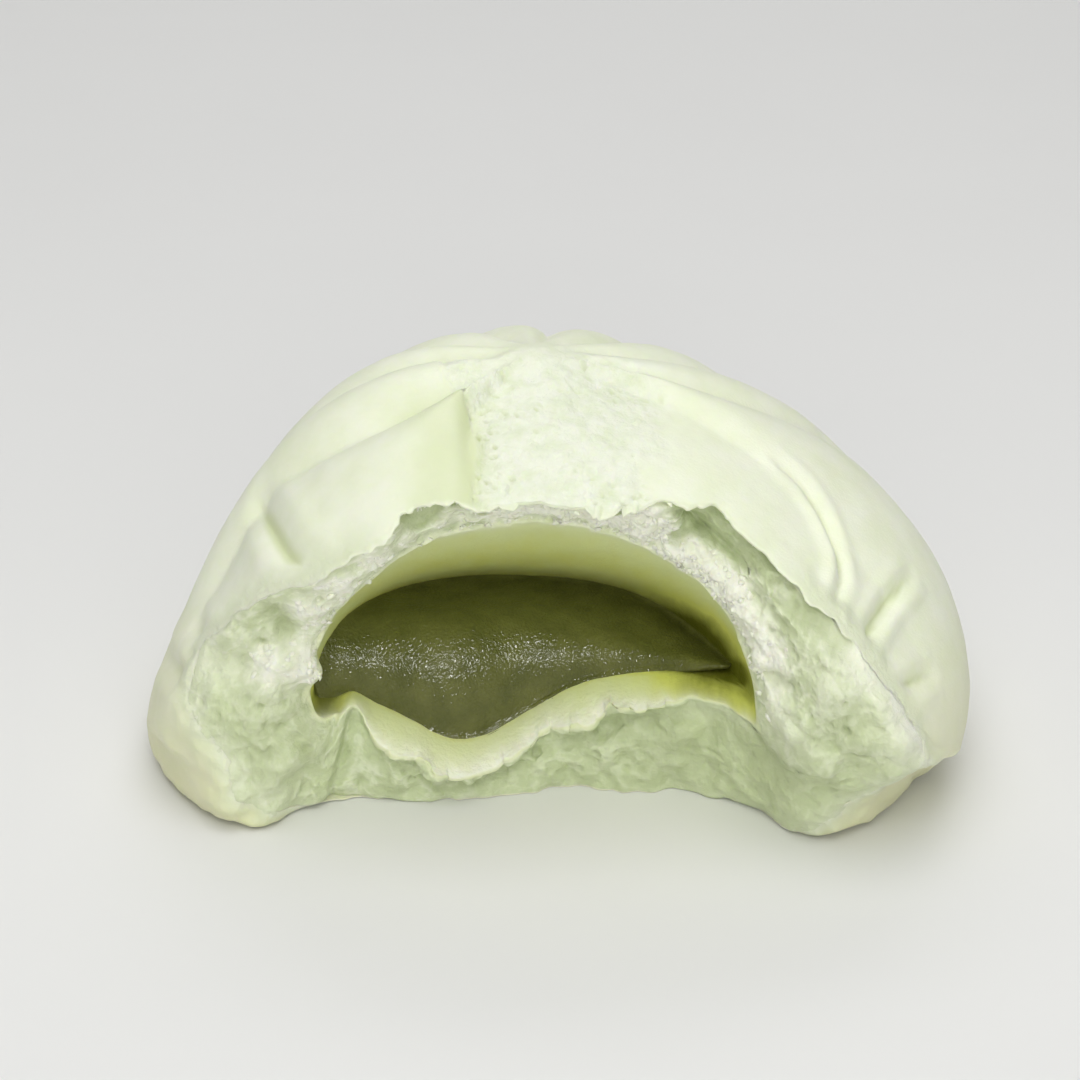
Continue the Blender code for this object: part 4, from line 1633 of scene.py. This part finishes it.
@dataclass(frozen=True)
class Tufts:
    """Small torn lumps that stand on the fluffy places of the crumb."""

    form: BunForm
    count: int = 460
    sides: int = 9
    rings: int = 6
    radius: Pair = (0.15, 0.55)
    least: Triple = (0.8, 0.7, 0.35)
    most: Triple = (1.3, 1.0, 0.65)
    sunk: float = 0.35
    rough: float = 0.4
    rough_size: float = 0.8
    seed: int = 17

    def ball(self) -> tuple[Array, Faces]:
        """Points and faces of a plain ball: rings between two poles."""
        turn = np.arange(self.sides) * math.tau / self.sides
        fall = np.linspace(0.0, math.pi, self.rings + 2)[1:-1]
        ring = stack(
            np.sin(fall) * np.cos(turn[:, None]), np.sin(fall) * np.sin(turn[:, None]), np.cos(fall)
        )
        poles = np.array([[0.0, 0.0, 1.0], [0.0, 0.0, -1.0]])
        return np.concatenate([ring.reshape(-1, 3), poles]), capped(self.sides, self.rings)

    def build(self, face: Array, normals: Array, weight: Array, material: Material) -> Piece:
        """The lumps, half sunk in the face, as one joined piece.

        Args:
            face: Points of the torn face.
            normals: Its normals.
            weight: How likely a lump is at each point.
            material: Finish of the dough.

        Returns:
            The finished piece.
        """
        random = np.random.default_rng(self.seed)
        chance = (weight / weight.sum()).ravel()
        chosen = random.choice(chance.size, self.count, replace=False, p=chance)
        base, up = face.reshape(-1, 3)[chosen], unit(normals.reshape(-1, 3)[chosen])
        along = unit(np.cross(up, random.normal(size=base.shape)))
        across = np.cross(up, along)
        size = self.radius[0] + (self.radius[1] - self.radius[0]) * random.random(self.count) ** 2
        shape = size[:, None] * random.uniform(self.least, self.most, (self.count, 3))
        ball, ball_faces = self.ball()
        apart = ball + 50.0 * random.random((self.count, 1, 3))
        lump = 1.0 + self.rough * Grain.layered(apart, self.rough_size, 141, 2)
        local = ball * lump[..., None] * shape[:, None]
        base = base - self.sunk * shape[:, 2:] * up
        points = on_each(base, along, across, up, local).reshape(-1, 3)
        points[:, 2] = np.maximum(points[:, 2], 0.05)
        faces = copied(ball_faces, self.count, len(ball))
        shade = np.repeat(random.uniform(0.0, 0.15, self.count), len(ball))
        marks = {Mark.CRUMB: np.ones(len(points)), Mark.PAINTED_SHADE: shade, Mark.FLUFF_AND_HIGHLIGHT: 1.0 - shade}
        return make_piece("crumb_tufts", self.form.folded(points), faces, material, marks)


@dataclass(frozen=True)
class Shreds:
    """Thin torn tongues at the skin's free edge and round the pocket's rim."""

    form: BunForm
    count: int = 360
    sides: int = 6
    rings: int = 5
    length: Pair = (0.25, 0.9)
    width: Pair = (0.16, 0.42)
    bend: Pair = (0.1, 0.6)
    flat: float = 0.45
    stray: float = 0.55
    jitter: float = 0.08
    seed: int = 29

    def build(self, base: Array, ahead: Array, up: Array, weight: Array, material: Material) -> Piece:
        """The tongues as one joined piece: flat tubes that taper and bend down to the face.

        Args:
            base: Places where a tongue can start.
            ahead: Which way it runs there.
            up: Away from the dough there.
            weight: How likely a tongue is at each place.
            material: Finish of the dough.

        Returns:
            The finished piece.
        """
        random = np.random.default_rng(self.seed)
        chosen = random.choice(len(base), self.count, p=weight / weight.sum())
        up = unit(up[chosen])
        along = unit(ahead[chosen] + self.stray * random.normal(size=up.shape))
        across = unit(np.cross(up, along))
        length = random.uniform(*self.length, self.count)[:, None, None]
        width = random.uniform(*self.width, self.count)[:, None, None]
        bend = random.uniform(*self.bend, self.count)[:, None, None]
        step = np.linspace(0.0, 1.0, self.rings)
        turn = np.arange(self.sides) * math.tau / self.sides
        taper = np.sqrt(1.0 - 0.9 * step**2)
        local = stack(
            length * (step - 0.2),
            width * taper * np.cos(turn[:, None]),
            self.flat * width * taper * np.sin(turn[:, None]) - bend * length * step**2,
        )
        ends = local.mean(axis=1)[:, [0, -1]]
        local = np.concatenate([local.reshape(self.count, -1, 3), ends], axis=1)
        jitter = random.normal(scale=self.jitter, size=(self.count, 3))
        points = on_each(base[chosen] + jitter, along, across, up, local)
        points = points + 0.06 * Grain.smooth(points, 0.5, 151)[..., None]
        faces = copied(capped(self.sides, self.rings), self.count, local.shape[1])
        points = points.reshape(-1, 3)
        points[:, 2] = np.maximum(points[:, 2], 0.05)
        ones = np.ones(len(points))
        marks = {Mark.CRUMB: ones, Mark.PAINTED_SHADE: 0.1 * ones, Mark.FLUFF_AND_HIGHLIGHT: 0.8 * ones}
        return make_piece("edge_shreds", self.form.folded(points), faces, material, marks)


@dataclass(frozen=True)
class Filling:
    """Coconut jam: a pool with a sloping front, a grainy top and a floor under it."""

    form: BunForm
    top: float = 18.7
    tilt: float = -0.075
    fall: float = 0.004
    edge: float = 4.5
    bead: float = 1.0
    bead_length: float = 0.5
    run: float = 10.0
    full: float = 2.2
    climb: float = 0.8
    climb_length: float = 0.35
    rim_slope: float = 1.4
    rim_steps: int = 29
    rim_calm: float = 0.8
    wall: Pair = (-0.5, -0.1)
    middle: Pair = (-2.0, 0.0)
    search: Pair = (0.5, 45.0)
    columns: int = 420
    rows: int = 150
    row_power: float = 0.7
    floor_rows: int = 10
    sink: float = 0.25
    waves: Waves = ((0.14, 9.0, 121), (0.12, 2.8, 123), (0.04, 1.0, 125), (0.02, 0.5, 127))

    def level(self, x: Array, y: Array) -> Array:
        """Height of the top: a small bead, then a full shoulder that rounds into the crown.

        Over the floor at the front edge it rises by bead (1 - e^-(d / bead_length)) and by
        the rest of the height times (1 - (1 - d / run)^full)^(1 / full). The first d is the
        distance behind the edge, and the second is bead_length less. In front of the edge
        the top falls steeply, and its crown falls to the right, ever faster.

        Args:
            x: Places across.
            y: Places in depth.

        Returns:
            Heights.
        """
        edge = self.form.tear.lip(x) + self.edge
        start = self.form.pocket.floor(x, edge, edge - self.edge)
        behind = np.clip(y - edge, 0.0, None)
        crown = self.top + self.tilt * x - self.fall * np.clip(x, 0.0, None) ** 2
        bead = self.bead * (1.0 - np.exp(-behind / self.bead_length))
        left = 1.0 - np.clip((behind - self.bead_length) / self.run, 0.0, 1.0)
        slope = (crown - start - self.bead) * (1.0 - left**self.full) ** (1.0 / self.full)
        return start + bead + slope + 3.0 * np.clip(y - edge, None, 0.0)

    def outside(self, x: Array, y: Array) -> Array:
        """Above 0 where the jam's top would be in the dough."""
        z = self.level(x, y)
        middle, half_width, rise = self.form.pocket.section(y)
        floor = self.form.pocket.floor(x, y, self.form.tear.lip(x))
        up = np.clip(z - self.form.pocket.mid_z, 0.0, None) / np.maximum(rise, 1e-3)
        beside = np.hypot((x - middle) / np.maximum(half_width, 1e-3), up) - 1.0
        under = (floor - z) * 0.05
        behind = (y - self.form.pocket.end_y + 0.3) * 0.1
        return np.maximum(np.maximum(beside, under), behind)

    def build(self, material: Material) -> Piece:
        """The jam, as a fan of rows from its middle to its rim, closed by a floor.

        Args:
            material: Finish of the jam.

        Returns:
            The finished piece.
        """
        angle = np.linspace(0.0, math.tau, self.columns, endpoint=False)

        def past_rim(reach: Array) -> Array:
            """Above 0 where a ray from the middle has left the jam's top."""
            x = self.middle[0] + reach * np.cos(angle)
            return self.outside(x, self.middle[1] + reach * np.sin(angle))

        reach = bisect(past_rim, *(np.full_like(angle, end) for end in self.search))
        for step in range(1, self.rim_steps + 1):
            beside = np.minimum(np.roll(reach, step), np.roll(reach, -step))
            reach = np.minimum(reach, beside + self.rim_slope * step)
        share = np.linspace(0.0, 1.0, self.rows + 1)[1:] ** self.row_power
        out = reach[:, None] * share
        x = self.middle[0] + out * np.cos(angle[:, None])
        y = self.middle[1] + out * np.sin(angle[:, None])
        top = stack(x, y, self.level(x, y))
        height = sum(s * Grain.smooth(top, size, seed) for s, size, seed in self.waves)
        hold = 1.0 - self.rim_calm * ease(share, 0.95, 1.0)
        wall = ease(np.sin(angle), *self.wall)[:, None]
        climb = self.climb * wall * np.exp(-(reach[:, None] - out) / self.climb_length)
        top[..., 2] += height * hold + climb
        outward = stack(np.cos(angle), np.sin(angle), np.zeros_like(angle))
        rim = top[:, -1] + outward * self.sink
        floor_share = np.linspace(1.0, 0.0, self.floor_rows + 1)[:-1]
        spread = self.middle[0] + (rim[:, None, 0] - self.middle[0]) * floor_share
        deep = self.middle[1] + (rim[:, None, 1] - self.middle[1]) * floor_share
        low = self.form.pocket.floor(spread, deep, self.form.tear.lip(spread)) - self.sink
        floor = stack(spread, deep, np.minimum(low, rim[:, None, 2] - 0.3))
        grid = np.concatenate([top, rim[:, None], floor], axis=1)
        poles = [[*self.middle, top[:, 0, 2].mean()], floor[:, -1].mean(axis=0)]
        points = self.form.folded(np.concatenate([grid.reshape(-1, 3), poles]))
        return make_piece("kaya_jam", points, capped(self.columns, grid.shape[1]), material)


def linear(red: float, green: float, blue: float) -> tuple[float, float, float, float]:
    """Colour as shown, from 0 to 255, made linear: ((c / 255 + 0.055) / 1.055)^2.4 but for darks."""
    parts = [((c / 255.0 + 0.055) / 1.055) ** 2.4 if c > 10 else c / 3294.6 for c in (red, green, blue)]
    return parts[0], parts[1], parts[2], 1.0


class Sum(Enum):
    """Ways to make one value from two."""

    ADD = "ADD"
    MULTIPLY = "MULTIPLY"
    MAXIMUM = "MAXIMUM"


@dataclass
class Nodes:
    """Short ways to add and join the nodes of one material."""

    tree: bpy.types.NodeTree

    @classmethod
    def start(cls, name: str) -> tuple[Material, "Nodes", bpy.types.Node]:
        """New material with its node helper and its main shader."""
        material = bpy.data.materials.new(name)
        material.use_nodes = True
        return material, cls(material.node_tree), material.node_tree.nodes["Principled BSDF"]

    def give(self, node: bpy.types.Node, inputs: dict[str | int, Given]) -> None:
        """Link or set some inputs of a node. Three numbers for a colour are a colour as shown."""
        for name, value in inputs.items():
            target = node.inputs[name]
            if isinstance(value, Socket):
                self.tree.links.new(value, target)
            elif target.type == "RGBA" and len(value) == 3:
                target.default_value = linear(*value)
            else:
                target.default_value = value

    def add(self, kind: str, output: str, inputs: dict[str | int, Given]) -> Socket:
        """New node with some inputs given, and one of its outputs."""
        node = self.tree.nodes.new(kind)
        self.give(node, inputs)
        return node.outputs[output]

    def place(self) -> Socket:
        """Object coordinates."""
        return self.add("ShaderNodeTexCoord", "Object", {})

    def height(self, place: Socket) -> Socket:
        """Height above the table."""
        return self.add("ShaderNodeSeparateXYZ", "Z", {"Vector": place})

    def mark(self, mark: Mark) -> Socket:
        """Values of one mark on the points."""
        node = self.tree.nodes.new("ShaderNodeAttribute")
        node.attribute_name = mark.value
        return node.outputs["Fac"]

    def noise(self, place: Socket, scale: float, detail: float = 3.0, rough: float = 0.55) -> Socket:
        """Soft noise from 0 to 1 with features 1 / scale metres wide."""
        inputs = {"Vector": place, "Scale": scale, "Detail": detail, "Roughness": rough}
        return self.add("ShaderNodeTexNoise", "Fac", inputs)

    def stretched(self, place: Socket, scale: Triple) -> Socket:
        """Coordinates stretched along the axes."""
        return self.add("ShaderNodeMapping", "Vector", {"Vector": place, "Scale": scale})

    def math(self, kind: Sum, first: Socket, second: Socket) -> Socket:
        """Sum, product or larger of two values."""
        node = self.tree.nodes.new("ShaderNodeMath")
        node.operation = kind.value
        self.give(node, {0: first, 1: second})
        return node.outputs[0]

    def span(
        self, value: Socket, low: float, high: float, start: float = 0.0, end: float = 1.0
    ) -> Socket:
        """Value from low to high carried to start to end, and held there."""
        inputs = {"Value": value, "From Min": low, "From Max": high, "To Min": start, "To Max": end}
        return self.add("ShaderNodeMapRange", "Result", inputs)

    def mix(self, share: Socket, first: Socket | tuple, second: Socket | tuple) -> Socket:
        """Colour between two by a share."""
        node = self.tree.nodes.new("ShaderNodeMix")
        node.data_type = "RGBA"
        self.give(node, {"Factor": share, 6: first, 7: second})
        return node.outputs[2]

    def bump(self, height: Socket, depth: float, under: Socket | None = None) -> Socket:
        """Bent normal for a height of depth metres."""
        inputs = {"Strength": 1.0, "Distance": depth, "Height": height}
        if under is not None:
            inputs["Normal"] = under
        return self.add("ShaderNodeBump", "Normal", inputs)


@dataclass(frozen=True)
class DoughFinish:
    """Steamed dough: matte pale skin, greener crumb, white fluff and a jam-stained lining, with painted
    shade and painted highlight.
    """

    skin: Colour = (241.0, 245.0, 223.0)
    skin_deep: Colour = (233.0, 239.0, 209.0)
    peel: Colour = (239.0, 243.0, 224.0)
    peel_deep: Colour = (229.0, 236.0, 208.0)
    # Painted shade: the darker colour the skin takes in creases, pits and beside the patch's rim.
    crease: Colour = (204.0, 214.0, 158.0)
    crumb: Colour = (206.0, 216.0, 174.0)
    # Painted shade on the crumb, also reached by its random speckle.
    crumb_shade_and_speckle: Colour = (189.0, 199.0, 156.0)
    # White of fluff, also used as painted highlight on raised crumb.
    fluff: Colour = (250.0, 252.0, 233.0)
    lining: Colour = (224.0, 232.0, 168.0)
    # Jam-stained lining colours, also used as painted shade deep in the pocket and just above the jam.
    stained: Colour = (218.0, 222.0, 116.0)
    soaked: Colour = (106.0, 109.0, 28.0)
    # Painted shade: the darker, browner colour the skin takes towards the table.
    foot: Colour = (217.0, 214.0, 164.0)
    roughness: float = 0.52
    specular: float = 0.32
    fine_depth: float = 0.00004
    grit_depth: float = 0.00026
    # Height by which the painted shade near the table has faded out.
    foot_shade_top: float = 0.024
    name: str = "steamed_dough"
    soft: float = 0.6
    depth: Triple = (1.0, 1.15, 0.7)
    depth_scale: float = 0.0004

    def make(self) -> Material:
        """Colours mixed by the marks and by noise, with light that passes a little way in."""
        material, nodes, shader = Nodes.start(self.name)
        place = nodes.place()
        cloud = nodes.noise(place, 160.0, 4.0)
        speckle = nodes.noise(place, 1400.0, 3.0)
        skin = nodes.mix(nodes.span(cloud, 0.35, 0.7), self.skin, self.skin_deep)
        # Painted shade: the skin turns darker and browner towards the table.
        foot_shade = nodes.span(nodes.height(place), 0.0, self.foot_shade_top, 0.7, 0.0)
        skin = nodes.mix(foot_shade, skin, self.foot)
        mottle = nodes.span(nodes.noise(place, 420.0, 4.0), 0.42, 0.66)
        peel = nodes.mix(mottle, self.peel, self.peel_deep)
        skin = nodes.mix(nodes.mark(Mark.PEEL), skin, peel)
        # Painted shade in the skin's creases and pits.
        skin = nodes.mix(nodes.mark(Mark.PAINTED_SHADE), skin, self.crease)
        # Painted shade on the crumb, with a random speckle added.
        hollow = nodes.math(Sum.ADD, nodes.mark(Mark.PAINTED_SHADE), nodes.span(speckle, 0.5, 0.8, 0.0, 0.35))
        crumb = nodes.mix(hollow, self.crumb, self.crumb_shade_and_speckle)
        # White fluff, and painted highlight on raised crumb.
        crumb = nodes.mix(nodes.mark(Mark.FLUFF_AND_HIGHLIGHT), crumb, self.fluff)
        body = nodes.mix(nodes.mark(Mark.CRUMB), skin, crumb)
        streak = nodes.noise(nodes.stretched(place, (1.0, 0.25, 0.25)), 500.0, 3.0)
        # Jam stain and painted shade on the lining, with random streaks.
        stain = nodes.math(Sum.ADD, nodes.mark(Mark.STAIN_AND_SHADE), nodes.span(streak, 0.3, 0.7, -0.08, 0.08))
        half = nodes.span(stain, 0.0, 0.5)
        full = nodes.span(stain, 0.55, 1.0)
        lining = nodes.mix(half, self.lining, self.stained)
        lining = nodes.mix(full, lining, self.soaked)
        colour = nodes.mix(nodes.mark(Mark.LINING), body, lining)
        fine = nodes.noise(place, 2600.0, 3.0, 0.6)
        grit = nodes.noise(place, 1400.0, 4.0, 0.6)
        open_crumb = nodes.math(Sum.MAXIMUM, nodes.mark(Mark.CRUMB), nodes.mark(Mark.PEEL))
        open_lining = nodes.span(nodes.mark(Mark.LINING), 0.0, 1.0, 0.0, 0.45)
        open_crumb = nodes.math(Sum.MAXIMUM, open_crumb, open_lining)
        grit_height = nodes.math(Sum.MULTIPLY, grit, nodes.span(open_crumb, 0.0, 1.0, 0.12, 1.0))
        inputs = {
            "Base Color": colour,
            "Roughness": self.roughness,
            "Specular IOR Level": self.specular,
            "Subsurface Weight": self.soft,
            "Subsurface Radius": self.depth,
            "Subsurface Scale": self.depth_scale,
            "Normal": nodes.bump(grit_height, self.grit_depth, nodes.bump(fine, self.fine_depth)),
        }
        nodes.give(shader, inputs)
        return material


@dataclass(frozen=True)
class JamFinish:
    """Coconut jam: dark olive, wet and finely grained."""

    colour: Colour = (102.0, 104.0, 52.0)
    deep: Colour = (87.0, 90.0, 41.0)
    roughness: float = 0.4
    specular: float = 0.1
    coat: float = 0.65
    coat_roughness: float = 0.04
    grain_depth: float = 0.00015
    coarse_depth: float = 0.00014

    def make(self) -> Material:
        """Dark base under a wet coat, both bent by fine grain so that lights break into points."""
        material, nodes, shader = Nodes.start("coconut_jam")
        place = nodes.place()
        cloud = nodes.noise(place, 260.0, 3.0)
        colour = nodes.mix(nodes.span(cloud, 0.35, 0.65), self.colour, self.deep)
        grain = nodes.noise(place, 2800.0, 1.0, 0.5)
        coarse = nodes.noise(place, 800.0, 2.0, 0.55)
        normal = nodes.bump(grain, self.grain_depth, nodes.bump(coarse, self.coarse_depth))
        inputs = {
            "Base Color": colour,
            "Roughness": self.roughness,
            "Specular IOR Level": self.specular,
            "Coat Weight": self.coat,
            "Coat Roughness": self.coat_roughness,
            "Normal": normal,
            "Coat Normal": normal,
        }
        nodes.give(shader, inputs)
        return material


@dataclass(frozen=True)
class FloorFinish:
    """Plain pale floor."""

    colour: Colour = (234.0, 234.0, 232.0)
    mottle: float = 0.985
    roughness: float = 0.85
    specular: float = 0.1

    def make(self) -> Material:
        """Matte paint with a very faint mottle."""
        material, nodes, shader = Nodes.start("pale_floor")
        faint = nodes.span(nodes.noise(nodes.place(), 12.0), 0.3, 0.7)
        near = tuple(self.mottle * c for c in linear(*self.colour)[:3]) + (1.0,)
        inputs = {
            "Base Color": nodes.mix(faint, self.colour, near),
            "Roughness": self.roughness,
            "Specular IOR Level": self.specular,
        }
        nodes.give(shader, inputs)
        return material


@dataclass(frozen=True)
class Lamp:
    """Soft rectangular light turned to the aim.

    It is seen in gloss only where it is mirrored, and matt surfaces get its light where lit.
    """

    name: str
    place: Triple
    size: Pair
    power: float
    mirrored: bool = False
    lit: bool = True


@dataclass(frozen=True)
class Studio:
    """Floor, lamps and camera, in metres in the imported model's frame."""

    aim: Triple = (-0.0019, -0.0050, 0.0269)
    elevation: float = 25.0
    distance: float = 0.450
    lens: float = 123.0
    sensor: float = 36.0
    nearest: float = 0.01
    floor_half: float = 3.0
    world: float = 0.27
    lamps: tuple[Lamp, ...] = (
        Lamp("overhead", (0.01, -0.15, 0.90), (0.80, 0.80), 3.7),
        Lamp("front", (0.04, -0.80, 0.36), (0.60, 0.40), 2.1),
        Lamp("key", (-0.03, -0.55, 0.58), (0.30, 0.15), 1.0),
        Lamp("spark", (0.03, -0.55, 0.58), (0.20, 0.05), 0.45, mirrored=True, lit=False),
        Lamp("edge_spark", (0.22, -0.55, 0.58), (0.36, 0.06), 3.2, mirrored=True, lit=False),
        Lamp("rim_spark", (0.04, -0.80, 0.46), (0.80, 0.03), 0.5, mirrored=True, lit=False),
        Lamp("top_spark", (0.02, 0.36, 0.62), (0.70, 0.06), 2.4, mirrored=True, lit=False),
        Lamp("background", (0.0, 0.80, 0.80), (0.90, 0.30), 2.0),
    )

    def lay_floor(self) -> None:
        """Square floor at the height of the foot."""
        half = self.floor_half
        mesh = bpy.data.meshes.new("floor")
        corners = [(-half, -half, 0.0), (half, -half, 0.0), (half, half, 0.0), (-half, half, 0.0)]
        mesh.from_pydata(corners, [], [(0, 1, 2, 3)])
        mesh.materials.append(FloorFinish().make())
        new_object("floor", mesh)

    def hang_lamp(self, lamp: Lamp) -> None:
        """Area lamp turned to the aim."""
        data = bpy.data.lights.new(lamp.name, "AREA")
        data.shape = "RECTANGLE"
        data.size, data.size_y = lamp.size
        data.energy = lamp.power
        light = new_object(lamp.name, data)
        light.location = lamp.place
        light.visible_glossy = lamp.mirrored
        light.visible_diffuse = lamp.lit
        aim = Vector(self.aim) - Vector(lamp.place)
        light.rotation_euler = aim.to_track_quat("-Z", "Y").to_euler()

    def set_camera(self) -> None:
        """Camera in front of the aim, raised by the elevation."""
        data = bpy.data.cameras.new("camera")
        data.lens = self.lens
        data.sensor_width = self.sensor
        data.clip_start = self.nearest
        camera = new_object("camera", data)
        rise = math.radians(self.elevation)
        back = Vector((0.0, -math.cos(rise), math.sin(rise))) * self.distance
        camera.location = Vector(self.aim) + back
        camera.rotation_euler = (math.radians(90.0) - rise, 0.0, 0.0)
        bpy.context.scene.camera = camera

    def build(self) -> None:
        """Floor, lamps, pale surroundings and camera."""
        self.lay_floor()
        for lamp in self.lamps:
            self.hang_lamp(lamp)
        world = bpy.data.worlds.new("studio")
        world.use_nodes = True
        background = world.node_tree.nodes["Background"]
        background.inputs["Color"].default_value = (1.0, 1.0, 1.0, 1.0)
        background.inputs["Strength"].default_value = self.world
        bpy.context.scene.world = world
        bpy.context.scene.view_settings.view_transform = "Standard"
        self.set_camera()


def report(piece: Piece) -> None:
    """Log a piece's name and its number of faces."""
    LOG.info("%s: %d faces", piece.name, len(piece.data.polygons))


def main() -> None:
    """Build the bun's pieces and the studio, hide the imported parts they replace, and log each piece's
    faces.
    """
    logging.basicConfig(level=logging.INFO, format="%(name)s: %(message)s")
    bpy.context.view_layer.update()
    form = BunForm()
    dough_material, jam_material = DoughFinish().make(), JamFinish().make()
    crumb_material = DoughFinish(name="torn_dough", soft=0.5, depth_scale=0.00016).make()
    dough, filling = Dough(form), Filling(form)
    sheet = dough.skin()
    crumb = Crumb(form, dough).build(sheet, filling, crumb_material)
    pieces = [(piece, "dough", "dough") for piece in (dough.build(sheet, dough_material), *crumb)]
    pieces.append((filling.build(jam_material), "kaya_filling", "kaya"))
    for piece, node, slot in pieces:
        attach(piece, "root")
        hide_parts(node)
        report(piece)
    Studio().build()


if __name__ == "__main__":
    main()
